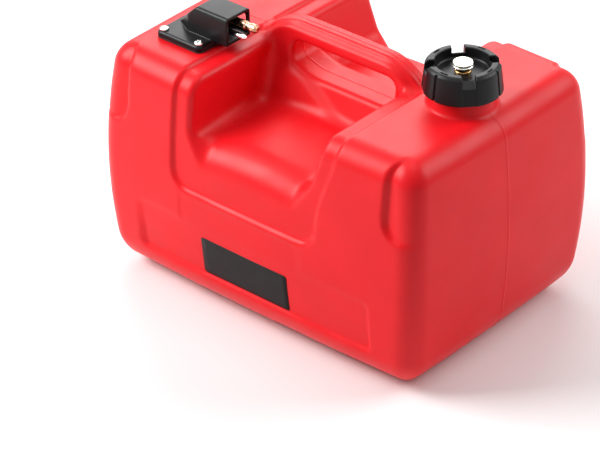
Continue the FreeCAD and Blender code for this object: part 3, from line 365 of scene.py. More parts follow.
def wovenGauze(name, look):
    # Woven wire on a sleeve: one set of wires counted round its axis, the other up its height. The openings
    # between the wires are painted dark, as painted shade seen through them.
    material, nodes, links, shader, place = newMaterial(name)
    shader.inputs["Metallic"].default_value = 1
    shader.inputs["Roughness"].default_value = look["roughness"]
    middle = nodes.new("ShaderNodeMapping")
    middle.inputs["Location"].default_value = (-look["place"][0], -look["place"][1], 0)
    links.new(place, middle.inputs["Vector"])
    parts = nodes.new("ShaderNodeSeparateXYZ")
    links.new(middle.outputs["Vector"], parts.inputs["Vector"])
    bearing = addMath(nodes, links, "ARCTAN2", parts.outputs["Y"], parts.outputs["X"])
    turning = addMath(nodes, links, "MULTIPLY", bearing, look["wires"])
    height = addMath(nodes, links, "MULTIPLY", parts.outputs["Z"], 2 * math.pi / look["spacing"])
    upright, level = (addMath(nodes, links, "COSINE", phase) for phase in (turning, height))
    wires = addMath(nodes, links, "MAXIMUM", upright, level)
    # Painted shade: where neither set of wires runs, the openings take the dark gap colour.
    tones = [(0.0, look["gap"]), (0.5, look["colour"])]
    links.new(addRamp(nodes, links, wires, tones), shader.inputs["Base Color"])
    addBump(nodes, links, shader, wires, look["wireHeight"] * mm, 0.8)
    return material


redMaterial = mouldedPlastic("tankRed", plasticRed)
blackMaterial = mouldedPlastic("fittingBlack", plasticBlack)
brassMaterial, nippleMaterial, knobMaterial, zincMaterial, chromeMaterial, springMaterial = (
    turnedMetal(name, look) for name, look in metals.items())
rubberMaterial, linerMaterial, tubeMaterial, labelMaterial = (
    softPlastic(name, look) for name, look in softLooks.items())
gauzeMaterial = wovenGauze("gauze", gauze)


tankForm = {
    "halfLength": 175, "halfWidth": 123, "height": 218.5, "waist": 113,
    "baseInset": 8.5, "topInset": 8.5, "endBow": 2.4, "sideBow": 4.2,
    "planCorner": 20, "baseRound": 33, "topRound": 20, "wall": 3.2, "seamHeight": 0.35, "seamWidth": 0.7,
}
recessForm = {"halfLength": 121, "halfWidth": 74, "corner": 20, "rise": 2.0, "edge": 2}
waveForm = {
    "height": 0.16, "lift": 1.7, "rates": (0.041, 0.052, 0.047), "phases": (0.7, 1.1, 0.4),
    "slantShare": 0.6, "slantRates": (0.083, 0.031, 0.071, 0.06), "slantPhase": 2,
}
shoulderForm = {
    "reach": 141, "ledge": 151, "head": 223, "corner": 17, "depth": 5.0, "edge": 2.6,
    "faded": 172, "least": 0.15,
}
saddleForm = {
    "middle": 1, "half": 88, "foot": 113.5, "corner": 18, "depth": 3.4, "edge": 2.2,
    "fadeFoot": 60, "fadeHead": 90, "lean": 17, "leanFoot": 135, "leanHead": 212,
}
panelForm = {
    "half": 127.5, "foot": 34.5, "head": 83, "corner": 5, "depth": 3.0, "headDepth": 0.8, "edge": 1.6,
}
bareForm = {"left": -79, "right": 56, "foot": 84, "head": 108.5, "corner": 3, "depth": 0.6, "edge": 1.0}
wellForm = {
    "half": 70, "lipFloor": 158, "rise": 5, "crown": 8, "lipPlace": 107, "fillet": 15, "edgeRound": 7,
    "lipRound": 28, "lipSpan": (-18, 2), "lipHeights": (14, 36), "lean": 12, "leanFoot": 150, "leanHead": 216,
    "bench": 195, "benchHalf": 18, "benchFoot": 31, "benchRound": 4, "benchFillet": 7,
}
handleForm = {
    "top": 237.5, "left": -63, "right": 66, "half": 13, "ribHalf": 7, "ribHeight": 5,
    "under": 220.5, "gripLeft": -46, "gripRight": 63.5, "gripCorner": 9, "edgeRound": 4.5, "bend": 14,
    "foot": 140, "endSpan": 30, "slope": (29, 30, 41.73), "ribSlope": (0.949, 0.316), "ribRound": 2.6,
    "gripFoot": 203.5, "gripSlope": (8.5, 15, 17.24), "gripFootCorner": 5,
}
neckForm = {
    "place": 125, "foot": 208, "bore": 21, "boreFoot": 200, "outer": 24.6, "rim": 240,
    "coneFoot": 29, "coneHead": 26.8, "coneTop": 231, "threadDepth": 1.3, "threadPitch": 6,
    "threadStart": 232.6, "threadCrest": 1.25, "threadFlank": 1.1,
    "threadIn": (231.4, 233.2), "threadOut": (237.6, 239.2),
}
portForm = {"place": (-112.5, -47), "radius": 9, "foot": 200}


def throughThree(z, low, middle, high):
    # The parabola through three (height, value) pairs.
    (a, u), (b, v), (c, w) = low, middle, high
    return (u * (z - b) * (z - c) / ((a - b) * (a - c)) + v * (z - a) * (z - c) / ((b - a) * (b - c))
            + w * (z - a) * (z - b) / ((c - a) * (c - b)))


leanBlend = 20  # this far on each side of the middle, the lean passes from one wall to the other


def leaningAcross(x, y, z, form, middle):
    # How far a point is from the middle, with one wall leaning in as it goes down: the right-hand wall
    # on either long side, seen from outside, so that the two sides match when the tank is turned round.
    lean = form["lean"] * (1 - ramp(z, form["leanFoot"], form["leanHead"]))
    backShare = ramp(y, -leanBlend, leanBlend)
    return np.maximum(middle - x + lean * backShare, x - middle + lean * (1 - backShare))


def inside(shape, edge):
    # 1 inside a shape and 0 outside it, eased over the edge.
    return ramp(-shape, -edge, edge)


def blockField(x, y, z):
    # Four sides that bow outwards and draw in towards base and top, rounded in plan and at both ends,
    # with the shoulders, the saddles, the low panels and the shallow bare panels over them pushed in,
    # and a recess under the base.
    t, s, d, p, b, r = tankForm, shoulderForm, saddleForm, panelForm, bareForm, recessForm
    inset = throughThree(z, (0, t["baseInset"]), (t["waist"], 0), (t["height"], t["topInset"]))
    ends = np.abs(x) - (t["halfLength"] - inset + t["endBow"] * (1 - (y / t["halfWidth"]) ** 2))
    sides = np.abs(y) - (t["halfWidth"] - inset + t["sideBow"] * (1 - (x / t["halfLength"]) ** 2))
    middle, half = (s["ledge"] + s["head"]) / 2, (s["head"] - s["ledge"]) / 2
    shoulder = roundMax(s["reach"] - np.abs(x), np.abs(z - middle) - half, s["corner"])
    fading = np.clip((s["faded"] - np.abs(x)) / (s["faded"] - s["reach"]), s["least"], 1)
    sides = sides + s["depth"] * fading * inside(shoulder, s["edge"])
    around = roundMax(ends, sides, t["planCorner"])
    panel = roundMax(np.abs(x) - p["half"], np.maximum(p["foot"] - z, z - p["head"]), p["corner"])
    depth = p["headDepth"] + (p["depth"] - p["headDepth"]) * (p["head"] - z) / (p["head"] - p["foot"])
    around = around + depth * inside(panel, p["edge"])
    alongWall = x * np.where(y > 0, -1, 1)
    wide = np.maximum(b["left"] - alongWall, alongWall - b["right"])
    bare = roundMax(wide, np.maximum(b["foot"] - z, z - b["head"]), b["corner"])
    around = around + b["depth"] * inside(bare, b["edge"])
    body = roundMax(around, z - t["height"], t["topRound"])
    recess = roundMax(np.abs(x) - r["halfLength"], np.abs(y) - r["halfWidth"], r["corner"])
    body = roundMax(body, r["rise"] * inside(recess, r["edge"]) - z, t["baseRound"])
    saddle = roundMax(leaningAcross(x, y, z, d, d["middle"]) - d["half"], d["foot"] - z, d["corner"])
    return body + d["depth"] * inside(saddle, d["edge"]) * ramp(z, d["fadeFoot"], d["fadeHead"])


def wellField(x, y, z, body):
    # The block with the hand wells taken out: walls, the right-hand one leaning in, a crowned floor that
    # rises to the bench, the bench, and a broad rounded lip where the floor turns down the side.
    w, middle = wellForm, saddleForm["middle"]
    far = np.abs(y)
    rise = np.clip((w["lipPlace"] - far) / (w["lipPlace"] - w["benchFoot"]), 0, 1)
    crown = w["crown"] * (1 - np.clip((x - middle) / w["half"], -1, 1) ** 2)
    floor = z - (w["lipFloor"] + w["rise"] * rise + crown)
    run, climb = w["benchFoot"] - w["benchHalf"], w["bench"] - w["lipFloor"] - w["rise"]
    steep = math.hypot(run, climb)
    riser = ((far - w["benchFoot"]) * climb + (z - w["lipFloor"] - w["rise"]) * run) / steep
    bench = roundMax(z - w["bench"], riser, w["benchRound"])
    ground = roundMin(floor, bench, w["benchFillet"])
    across = leaningAcross(x, y, z, w, middle)
    walls = w["half"] - across
    outside = roundMin(walls, ground, w["fillet"])
    nearWall = ramp(across, *(w["half"] + span for span in w["lipSpan"]))
    low = 1 - ramp(z, *(w["lipFloor"] + height for height in w["lipHeights"]))
    radius = w["edgeRound"] + (w["lipRound"] - w["edgeRound"]) * (1 - nearWall) * low
    return roundMax(body, outside, radius)


def handleField(x, y, z):
    # The bridge handle: a flat top that bends down at both ends, a broad bar with a narrower rib
    # along it, and the finger gap with round corners and a sloping left end. A slope is its fall, its run
    # and its length, so that the sum below is a distance.
    h = handleForm
    fall, run, length = h["slope"]
    slopeRight = ((x - h["right"]) * fall + (z - h["top"]) * run) / length
    slopeLeft = ((h["left"] - x) * fall + (z - h["top"]) * run) / length
    profile = roundMax(roundMax(z - h["top"], slopeRight, h["bend"]), slopeLeft, h["bend"])
    far = np.abs(y)
    bar = roundMax(far - h["half"], profile + h["ribHeight"], h["edgeRound"])
    ribSide = (far - h["ribHalf"]) * h["ribSlope"][0] + profile * h["ribSlope"][1]
    solid = np.maximum(roundMin(bar, roundMax(ribSide, profile, h["ribRound"]), 2.5), h["foot"] - z)
    solid = np.maximum(solid, np.maximum(h["left"] - h["endSpan"] - x, x - h["right"] - h["endSpan"]))
    fall, run, length = h["gripSlope"]
    slopeFoot = ((x - h["gripLeft"]) * fall + (z - h["gripFoot"]) * run) / length
    ends = roundMax(x - h["gripRight"], z - h["under"], h["gripCorner"])
    start = roundMax(h["gripLeft"] - x, -slopeFoot, h["gripFootCorner"])
    gap = roundMax(ends, start, h["gripCorner"])
    return roundMax(solid, -gap, h["edgeRound"])


def neckField(x, y, z):
    # A cone, then the neck with one helical thread ridge on it.
    n = neckForm
    dx = x - n["place"]
    away = np.hypot(dx, y)
    lean = (n["coneFoot"] - n["coneHead"]) / (n["coneTop"] - tankForm["height"])
    cone = (away - n["coneHead"] - (n["coneTop"] - z) * lean) / math.hypot(1, lean)
    cone = roundMax(cone, z - n["coneTop"], 1.0)
    turn = np.arctan2(y, dx) / (2 * math.pi)
    height = z - n["threadStart"] - n["threadPitch"] * turn
    height = height - n["threadPitch"] * np.round(height / n["threadPitch"])
    ends = ramp(z, *n["threadIn"]) * (1 - ramp(z, *n["threadOut"]))
    ridge = n["threadDepth"] * np.clip(n["threadCrest"] - np.abs(height) / n["threadFlank"], 0, 1) * ends
    pipe = roundMax(away - n["outer"] - ridge, z - n["rim"], 0.7)
    return np.maximum(roundMin(cone, pipe, 1.0), n["foot"] - z)


def skinField(x, y, z):
    # The moulding's outside without its neck, with the faint waves of a blown wall: a product of sines
    # along the three axes and a weaker one on the slant, lifted so that they only draw the wall in.
    w = waveForm
    body = wellField(x, y, z, blockField(x, y, z))
    skin = roundMin(body, handleField(x, y, z), 7)
    waveX, waveY, waveZ = (np.sin(line * rate + phase)
                           for line, rate, phase in zip((x, y, z), w["rates"], w["phases"]))
    rateX, rateY, rateZ, rateBack = w["slantRates"]
    slant = np.sin(x * rateX + y * rateY + w["slantPhase"]) * np.sin(z * rateZ - y * rateBack)
    waves = waveX * waveY * waveZ + w["slantShare"] * slant
    return skin + w["height"] * (waves + w["lift"])


def tankField(x, y, z):
    # The moulding filled up: outside with parting ridge and neck, minus the bore and the port hole.
    n = neckForm
    skin = skinField(x, y, z)
    outside = skin + tankForm["seamHeight"] * (1 - np.exp(-(y / tankForm["seamWidth"]) ** 2))
    solid = roundMin(outside, neckField(x, y, z), 3)
    bore = np.maximum(np.hypot(x - n["place"], y) - n["bore"], n["boreFoot"] - z)
    solid = roundMax(solid, -bore, 0.8)
    px, py = portForm["place"]
    port = np.maximum(np.hypot(x - px, y - py) - portForm["radius"], portForm["foot"] - z)
    return np.maximum(solid, -port)


def cavityField(x, y, z):
    # The hollow inside: the outside drawn in by the wall.
    return skinField(x, y, z) + tankForm["wall"]


def hollowOut(name, solid, hollow):
    # The solid less the hollow, both closed nets, as plain arrays of points and faces.
    pair = []
    for part, (points, faces) in (("Solid", solid), ("Hollow", hollow)):
        mesh = bpy.data.meshes.new(name + part)
        mesh.from_pydata(points.tolist(), [], faces.tolist())
        pair.append(bpy.data.objects.new(name + part, mesh))
        bpy.context.scene.collection.objects.link(pair[-1])
    taking = pair[0].modifiers.new("taking", "BOOLEAN")
    taking.operation = "DIFFERENCE"
    taking.solver = "MANIFOLD"
    taking.object = pair[1]
    bpy.context.view_layer.update()
    made = bpy.data.meshes.new_from_object(pair[0].evaluated_get(bpy.context.evaluated_depsgraph_get()))
    points = np.empty(len(made.vertices) * 3)
    made.vertices.foreach_get("co", points)
    faces = [tuple(face.vertices) for face in made.polygons]
    for thing in pair:
        old = thing.data
        bpy.data.objects.remove(thing)
        bpy.data.meshes.remove(old)
    bpy.data.meshes.remove(made)
    return points.reshape(-1, 3), faces


tankGrid = {
    "x": (-181, 181, 4.2, [(-181, -139, 2.6), (-150, -140, 1.5), (-93, -63, 1.6), (64, 94, 1.6),
                           (94, 139, 2.0), (140, 150, 1.5), (139, 182, 2.6)]),
    "y": (-131, 131, 4.0, [(-131, -96, 2.4), (-36, -3, 1.8), (-3, 3, 0.6), (3, 36, 1.8), (96, 131, 2.4)]),
    "z": (-4, 243.5, 4.2, [(-4, 28, 2.6), (34, 44, 1.8), (108, 120, 2.0), (148, 176, 1.8),
                           (176, 200, 2.4), (200, 243.5, 1.6)]),
}
cavityGrid = {
    "x": (-176, 176, 6.0, [(60, 80, 3.4), (-80, -60, 3.4)]),
    "y": (-126, 126, 6.0, [(-16, 16, 2.8)]),
    "z": (0, 240, 6.0, [(200, 240, 2.8)]),
}
outerNet = surfaceNet(tankField, *(spacedPlanes(*tankGrid[axis]) for axis in "xyz"))
innerNet = surfaceNet(cavityField, *(spacedPlanes(*cavityGrid[axis]) for axis in "xyz"), rounds=1)
print("tank net:", len(outerNet[1]), "outside,", len(innerNet[1]), "inside")
tankShell = hollowOut("tank", outerNet, innerNet)
addMesh("tank_shell", *tankShell, redMaterial, "tank", ["tank_body"], "tank_plastic")


labelForm = {
    "left": -55.5, "right": 40.5, "foot": 36.5, "head": 73, "corner": 2.5, "back": -0.33, "front": 0.12,
    "rings": 9, "search": (-135.0, -95.0), "halvings": 26,
}


def onFrontWall(x, z, level):
    # The depth y at which the skin's field has the level, found by halving between two depths.
    near, deep = (np.full(len(x), depth) for depth in labelForm["search"])
    for halving in range(labelForm["halvings"]):
        middle = (near + deep) / 2
        outer = skinField(x, middle, z) > level
        near, deep = np.where(outer, middle, near), np.where(outer, deep, middle)
    return deep


def labelFilm():
    # A rounded rectangle of film that follows the wall: rings from the middle out, on the front face and on
    # the back face, joined round the edge.
    f = labelForm
    ways = (("left", "foot"), ("right", "foot"), ("right", "head"), ("left", "head"))
    centre = np.array([f["left"] + f["right"], f["foot"] + f["head"]]) / 2
    edge = roundedOutline([(f[side], f[end], f["corner"]) for side, end in ways]) - centre
    shares = np.linspace(1 / f["rings"], 1, f["rings"])
    flat = np.concatenate([centre[None]] + [centre + edge * share for share in shares])
    count = len(flat)
    rings = 1 + np.arange(f["rings"])[:, None] * len(edge) + np.arange(len(edge))
    ahead = np.roll(rings, -1, axis=1)
    fan = [(0, a, b) for a, b in zip(rings[0].tolist(), ahead[0].tolist())]
    bands = np.stack([rings[:-1], rings[1:], ahead[1:], ahead[:-1]], axis=2).reshape(-1, 4)
    front = fan + bands.tolist()
    back = [[count + point for point in face[::-1]] for face in front]
    rim = [(b, a, count + a, count + b) for a, b in zip(rings[-1].tolist(), ahead[-1].tolist())]
    layers = [np.column_stack([flat[:, 0], onFrontWall(*flat.T, level), flat[:, 1]])
              for level in (f["front"], f["back"])]
    return np.concatenate(layers), front + back + rim


addMesh("label_film", *labelFilm(), labelMaterial, "tank", ["label_plate"], "label_film")


capForm = {
    "foot": 232, "top": 256.6, "radius": 33.8, "draft": 2.6, "wall": 7.8, "bowlFloor": 246.7, "roof": 243.7,
    "bore": 26.25, "hole": 5.02, "notchAngle": 48, "notchHalf": 5.5, "blockFoot": 247.3, "blockSlope": 0.5,
    "blockSlant": 0.894, "bowlDraft": 1.3, "bowlRound": 2.2, "bevel": 2.4, "edge": 0.6, "panelDepth": 0.7,
    "fluteAngle": 54, "fluteHalf": 1.1, "fluteDepth": 1.4,
    "slotHalf": 3.4, "slotWidth": 0.6, "slotDepth": 1.7, "slotPlace": 0.42,
    "grid": 0.62, "spareSide": 1.5, "spareFoot": 1.3, "spareTop": 1.0,
}
diagonal = 0.707  # turns the sum of two distances at right angles into the distance from a bevel


def capField(x, y, z):
    # A drafted drum with a bevelled crown, less its bowl and its threaded underside. Four notches with a
    # sloping block in each cut the crown, and flutes, flat panels and short slots are repeated round it.
    c = capForm
    away = np.hypot(x, y)
    climb = np.clip((z - c["foot"]) / (c["top"] - c["foot"]), 0, 1)
    side = away - c["radius"] + c["draft"] * climb
    solid = roundMax(side, z - c["top"], c["edge"])
    solid = roundMax(solid, (side + z - c["top"] + c["bevel"]) * diagonal, c["edge"])
    solid = roundMax(solid, c["foot"] - z, c["edge"])
    quarter = math.pi / 2
    bearing = np.arctan2(y, x) - math.radians(c["notchAngle"])
    folded = bearing - np.round(bearing / quarter) * quarter
    along, across = away * np.cos(folded), np.abs(away * np.sin(folded))
    rim = c["radius"] - c["draft"] - c["wall"]
    bowl = roundMax(away - rim + c["bowlDraft"] * (1 - climb), c["bowlFloor"] - z, c["bowlRound"])
    block = c["blockFoot"] + c["blockSlope"] * (c["radius"] - c["draft"] - along)
    notch = roundMax(across - c["notchHalf"], (block - z) * c["blockSlant"], 0.5)
    solid = roundMax(solid, -roundMin(bowl, notch, 0.3), c["edge"] + 0.2)
    panel = roundMax(across - c["notchHalf"], -side - c["panelDepth"], 0.3)
    solid = roundMax(solid, -panel, 0.3)
    fromFront = np.abs(bearing + quarter - 2 * math.pi * np.round((bearing + quarter) / (2 * math.pi)))
    fromFront = np.minimum(fromFront, math.pi - fromFront)
    beside = np.abs(away * np.sin(fromFront - math.radians(c["fluteAngle"])))
    flute = roundMax(beside - c["fluteHalf"], -side - c["fluteDepth"], 0.3)
    solid = roundMax(solid, -flute, 0.4)
    between = np.abs(away * np.sin(np.abs(folded) - quarter / 2))
    slotAway = np.abs(away - rim - c["wall"] * c["slotPlace"])
    slot = roundMax(slotAway - c["slotWidth"], between - c["slotHalf"], 0.4)
    solid = roundMax(solid, -np.maximum(slot, c["top"] - c["slotDepth"] - z), 0.3)
    underside = roundMin(roundMax(away - c["bore"], z - c["roof"], 0.6), away - c["hole"], 0.3)
    return roundMax(solid, -underside, 0.4)


capReach = capForm["radius"] + capForm["spareSide"]
capFoot, capTop = capForm["foot"] - capForm["spareFoot"], capForm["top"] + capForm["spareTop"]
capPlanes = evenPlanes(-capReach, capReach, capForm["grid"])
capNet = surfaceNet(capField, capPlanes, capPlanes, evenPlanes(capFoot, capTop, capForm["grid"]))
print("cap net:", len(capNet[1]))
neckAxis = (neckForm["place"], 0, 0)
addMesh("screw_cap", *capNet, blackMaterial, "cap", ["filler_cap"], "black_plastic", place=neckAxis)


ventForm = {
    "seatHole": 3.06, "seatRadius": 7, "seatFoot": 243.7, "seatHead": 249.3, "stem": 5, "bowlFloor": 246.7,
    "knobRadius": 8.5, "knobFoot": 251.6, "knobHead": 256.6, "crown": 0.35,
    "groove": 0.5, "grooveHalf": 0.4, "grooveMouth": 0.9,
}


def ventKnob():
    # A thick coin turned from bar: a slightly crowned top, rounded rims and a shallow groove round its side.
    v = ventForm
    foot, head, radius = v["knobFoot"], v["knobHead"], v["knobRadius"]
    middle, waist = (foot + head) / 2, radius - v["groove"]
    half, mouth = v["grooveHalf"], v["grooveMouth"]
    side = roundedOutline([
        (1, foot, 0), (radius, foot, 0.6), (radius, middle - mouth, 0.2), (waist, middle - half, 0.2),
        (waist, middle + half, 0.2), (radius, middle + mouth, 0.2), (radius, head - v["crown"], 0.9),
        (radius * 0.5, head, 4.0), (1, head, 0)])
    return turnedSurface(np.vstack([[(0, foot)], side, [(0, head)]]))


def ventSeat():
    # The brass bush that the vent screw turns in: a stem in the cap's roof under a broad rounded collar.
    v = ventForm
    hole, radius, foot, head = v["seatHole"], v["seatRadius"], v["seatFoot"], v["seatHead"]
    return turnedSurface(roundedOutline([
        (hole, foot, 0.15), (v["stem"], foot, 0.15), (v["stem"], v["bowlFloor"], 0),
        (radius, v["bowlFloor"], 0.2), (radius, head - 0.4, 0.7), (radius - 1.2, head, 0.5),
        (hole, head, 0.15)]))


addMesh("vent_knob_turned", *ventKnob(), knobMaterial, "vent", ["vent_knob"], "brass", place=neckAxis)
addMesh("vent_seat_turned", *ventSeat(), brassMaterial, "cap", ["vent_seat"], "brass", place=neckAxis)


fittingForm = {
    "place": (-117.5, -51), "half": (25, 30), "foot": 219.5, "top": 224.7, "corner": 5, "bevel": 1.7,
    "hoodMiddle": -49.5, "hoodHalf": 15, "hoodTop": 250.2,
    "hoodLeft": -111, "hoodRight": -76, "hoodRound": 3.6,
    "noseFoot": -136, "noseRise": 1.4, "cheekHalf": 5.7, "cheekEnd": -118, "wall": 2.8, "mouthEnd": -96,
    "port": (-112.5, -47), "portRadius": 8, "portFoot": 203.5, "socket": 4.52, "socketHead": 215.5,
    "passage": 1.8, "passageDepth": 16.5, "shank": (-47, 240.7, 5.42, 11), "pin": (-55.5, 234.7, 3.12, 8),
    "windowMiddle": -86, "windowHalf": 7.2, "windowCorner": 2.8, "windowStart": 8, "screwHoleDepth": 3,
    "grid": 0.66, "gridX": (-144, -74.5), "gridY": (-82.4, -19.4), "gridZ": (202.5, 251.5),
}
screwForm = {
    "spacing": (39.4, 49.0), "head": 4.0, "rise": 2.6, "dome": 1.2, "shank": 2.0, "length": 12,
    "thread": 0.28, "pitch": 1.2,
    "crossHalf": 0.55, "crossReach": 2.5, "crossDepth": 1.6, "crossTaper": (0.08, 0.7),
    "hole": 2.25, "turns": (20, 85, 150, 215), "grid": 0.3, "spare": 0.6,
}
fourCorners = ((-1, -1), (1, -1), (1, 1), (-1, 1))


def fittingField(x, y, z):
    # The bevelled plate with the hood on it: flat sides, a sloping nose with two slanting cheeks, a deep
    # mouth, a latch window in the far side, the bores for nipple, pin and screws, and the port below.
    f = fittingForm
    px, py = f["place"]
    plan = roundMax(np.abs(x - px) - f["half"][0], np.abs(y - py) - f["half"][1], f["corner"])
    plate = roundMax(plan, z - f["top"], 0.5)
    plate = roundMax(plate, (plan + z - f["top"] + f["bevel"]) * diagonal, 0.7)
    plate = roundMax(plate, f["foot"] - z, 0.4)
    far = np.abs(y - f["hoodMiddle"])
    run, rise = f["hoodLeft"] - f["noseFoot"], f["hoodTop"] - f["top"] - f["noseRise"]
    nose = ((f["hoodLeft"] - x) * rise + (z - f["hoodTop"]) * run) / math.hypot(run, rise)
    span, spread = f["cheekEnd"] - f["noseFoot"] + 1, f["hoodHalf"] + 1 - f["cheekHalf"]
    cheek = (far - f["cheekHalf"]) * span - (x - f["noseFoot"] + 1) * spread
    crown = roundMax(far - f["hoodHalf"], z - f["hoodTop"], f["hoodRound"])
    hood = roundMax(roundMax(crown, nose, 1.2), cheek / math.hypot(span, spread), 0.7)
    hood = roundMax(hood, x - f["hoodRight"], 0.6)
    solid = roundMin(plate, roundMax(hood, f["top"] - 0.5 - z, 0.3), 0.8)
    level = (f["top"] + f["hoodTop"]) / 2
    halfWide, halfTall = f["hoodHalf"] - f["wall"], (f["hoodTop"] - f["top"]) / 2 - f["wall"]
    mouth = roundMax(far - halfWide, np.abs(z - level) - halfTall, 1.4)
    solid = roundMax(solid, -roundMax(mouth, f["mouthEnd"] - x, 0.5), 0.5)
    wide, tall = np.abs(x - f["windowMiddle"]) - f["windowHalf"], np.abs(z - level) - f["windowHalf"]
    window = roundMax(wide, tall, f["windowCorner"])
    solid = roundMax(solid, -np.maximum(window, f["hoodMiddle"] + f["windowStart"] - y), 0.4)
    portX, portY = f["port"]
    beside = np.hypot(x - portX, y - portY)
    port = np.maximum(roundMax(beside - f["portRadius"], f["portFoot"] - z, 0.6), z - f["top"] + 1)
    solid = roundMin(solid, port, 0.3)
    for radius, head in ((f["socket"], f["socketHead"]), (f["passage"], f["shank"][1])):
        solid = np.maximum(solid, -np.maximum(beside - radius, z - head))
    passage = (*f["shank"][:2], f["passage"], f["passageDepth"])
    for middle, height, radius, depth in (f["shank"], f["pin"], passage):
        beside, along = np.hypot(y - middle, z - height), np.abs(x - f["mouthEnd"] - 2)
        solid = np.maximum(solid, -np.maximum(beside - radius, along - depth - 2))
    acrossX, acrossY = screwForm["spacing"]
    for wayX, wayY in fourCorners:
        gap = np.hypot(x - px - wayX * acrossX / 2, y - py - wayY * acrossY / 2)
        hole = np.maximum(gap - screwForm["hole"], z - f["top"] - f["screwHoleDepth"])
        solid = roundMax(solid, -hole, 0.2)
    return solid


def screwField(x, y, z):
    # A domed pan head with a tapering crossed recess, over a shank with a fine helical thread.
    s = screwForm
    away = np.hypot(x, y)
    head = roundMax(away - s["head"], z - s["rise"] + s["dome"] * (away / s["head"]) ** 2, 0.5)
    head = roundMax(head, -z, 0.3)
    turn = np.arctan2(y, x) / (2 * math.pi)
    phase = z / s["pitch"] - turn
    ridge = np.abs(phase - np.round(phase)) * 2
    shank = np.maximum(away - s["shank"] + s["thread"] * ridge, np.maximum(z - 1, -s["length"] - z))
    solid = roundMin(head, shank, 0.1)
    depth = np.clip(s["rise"] - z, 0, 3)
    taperNear, taperReach = s["crossTaper"]
    near, reach = s["crossHalf"] - taperNear * depth, s["crossReach"] - taperReach * depth
    farX, farY = np.abs(x), np.abs(y)
    arms = np.minimum(np.maximum(farX - reach, farY - near), np.maximum(farY - reach, farX - near))
    return roundMax(solid, -np.maximum(arms, s["rise"] - s["crossDepth"] - z), 0.12)


def fourScrews():
    # One screw's net, copied to the plate's corners and turned a little differently at each.
    s, f = screwForm, fittingForm
    reach = s["head"] + s["spare"]
    planes = evenPlanes(-reach, reach, s["grid"])
    heights = evenPlanes(-s["length"] - s["spare"], s["rise"] + s["spare"], s["grid"])
    points, faces = surfaceNet(screwField, planes, planes, heights)
    allPoints, allFaces = [], []
    for number, ((wayX, wayY), degrees) in enumerate(zip(fourCorners, s["turns"])):
        turn = Matrix.Rotation(math.radians(degrees), 3, "Z")
        px, py = (f["place"][k] + way * s["spacing"][k] / 2 for k, way in enumerate((wayX, wayY)))
        allPoints.append(points @ np.array(turn).T + np.array((px, py, f["top"])))
        allFaces.append(faces + len(points) * number)
    return np.concatenate(allPoints), np.concatenate(allFaces)


fittingPlanes = (evenPlanes(*fittingForm[ends], fittingForm["grid"]) for ends in ("gridX", "gridY", "gridZ"))
fittingNet = surfaceNet(fittingField, *fittingPlanes)
screwNet = fourScrews()
print("fitting net:", len(fittingNet[1]), "screws:", len(screwNet[1]))
addMesh("hose_fitting", *fittingNet, blackMaterial, "tank", ["fitting_housing"], "black_plastic")
addMesh("fitting_screws", *screwNet, zincMaterial, "tank", ["plate_screws"], "screw_steel")


keptNodes = {
    "cap_gasket": rubberMaterial, "cap_liner": linerMaterial, "vent_screw": brassMaterial,
    "vent_o_ring": rubberMaterial, "vent_clip": springMaterial, "fitting_gasket": rubberMaterial,
    "screw_inserts": brassMaterial, "fuel_nipple": nippleMaterial, "guide_pin": chromeMaterial,
    "pickup_tube": tubeMaterial, "pickup_strainer": tubeMaterial, "strainer_mesh": gauzeMaterial,
    "strainer_cap": tubeMaterial,
}
for name, finish in keptNodes.items():
    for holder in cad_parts[name].material_slots:
        holder.material = finish
print("kept nodes:", len(keptNodes))


cameraPlace = (1.4915, -1.7736, 1.5167)
cameraAngles = {"azimuth": 41.03, "elevation": 32.37, "roll": -0.40}
lens = 189.3
softLight = 0.13
floorLook = {"half": 6, "drop": 0.0004, "colour": (0.88, 0.88, 0.88, 1), "roughness": 0.9}
lampAim = (0, 0, 0.12)
lamps = {  # place, width, height and watts of each
    "frontBox": ((-1.20, -1.05, 1.35), 1.1, 1.1, 48),
    "endBox": ((1.05, 1.20, 1.20), 1.1, 1.1, 20),
    "backBox": ((-1.05, 1.20, 1.15), 1.6, 1.0, 20),
    "topBox": ((0, 0, 2.3), 1.4, 1.4, 12),
}


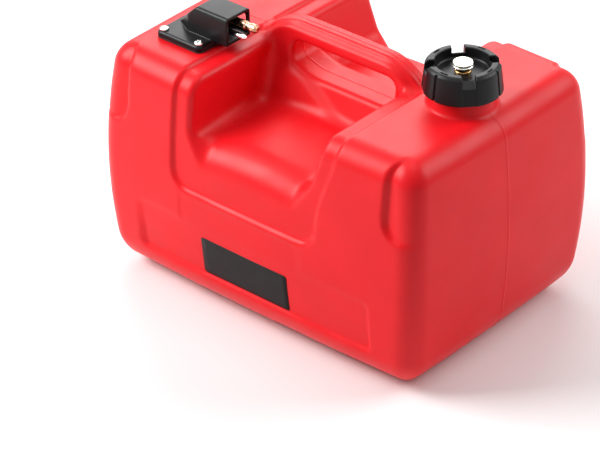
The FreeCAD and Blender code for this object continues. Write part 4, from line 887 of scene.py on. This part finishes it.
def addCamera():
    # A camera at the photograph's viewpoint, from its azimuth, elevation and roll.
    az, el, roll = (math.radians(cameraAngles[key]) for key in ("azimuth", "elevation", "roll"))
    back = Vector((math.sin(az) * math.cos(el), -math.cos(az) * math.cos(el), math.sin(el)))
    right = Vector((math.cos(az), math.sin(az), 0))
    up = back.cross(right)
    rolledRight = right * math.cos(roll) + up * math.sin(roll)
    rolledUp = up * math.cos(roll) - right * math.sin(roll)
    data = bpy.data.cameras.new("camera")
    data.sensor_width = 36
    data.lens = lens
    data.clip_end = 20
    camera = bpy.data.objects.new("camera", data)
    turn = Matrix((rolledRight, rolledUp, back)).transposed()
    camera.matrix_world = Matrix.Translation(cameraPlace) @ turn.to_4x4()
    bpy.context.scene.collection.objects.link(camera)
    bpy.context.scene.camera = camera


def addLamp(name, place, width, height, power):
    # A rectangular lamp that faces the tank's middle.
    data = bpy.data.lights.new(name, "AREA")
    data.shape = "RECTANGLE"
    data.size, data.size_y, data.energy = width, height, power
    lamp = bpy.data.objects.new(name, data)
    lamp.location = place
    lamp.rotation_euler = (Vector(lampAim) - Vector(place)).to_track_quat("-Z", "Y").to_euler()
    bpy.context.scene.collection.objects.link(lamp)


def addFloor():
    # A pale floor that takes the shadow; straight to the camera it is nearly white.
    mesh = bpy.data.meshes.new("floor")
    half = floorLook["half"]
    mesh.from_pydata([(wayX * half, wayY * half, 0) for wayX, wayY in fourCorners], [], [(0, 1, 2, 3)])
    floor = bpy.data.objects.new("floor", mesh)
    floor.location.z = -floorLook["drop"]
    material = bpy.data.materials.new("paleFloor")
    material.use_nodes = True
    shader = material.node_tree.nodes["Principled BSDF"]
    shader.inputs["Base Color"].default_value = floorLook["colour"]
    shader.inputs["Roughness"].default_value = floorLook["roughness"]
    mesh.materials.append(material)
    bpy.context.scene.collection.objects.link(floor)


def addWorld():
    # A plain white surround: soft light on the object, and full white where the camera sees it or where it
    # shows in a reflection or through something clear.
    world = bpy.data.worlds.new("studio")
    bpy.context.scene.world = world
    world.use_nodes = True
    nodes, links = world.node_tree.nodes, world.node_tree.links
    background = nodes["Background"]
    background.inputs["Color"].default_value = (1, 1, 1, 1)
    seen = nodes.new("ShaderNodeLightPath").outputs
    level = addMath(nodes, links, "MAXIMUM", seen["Is Camera Ray"], softLight)
    for ray in ("Is Glossy Ray", "Is Transmission Ray"):
        level = addMath(nodes, links, "MAXIMUM", level, seen[ray])
    links.new(level, background.inputs["Strength"])


addCamera()
for name, (place, width, height, power) in lamps.items():
    addLamp(name, place, width, height, power)
addFloor()
addWorld()
bpy.context.scene.view_settings.view_transform = "Standard"
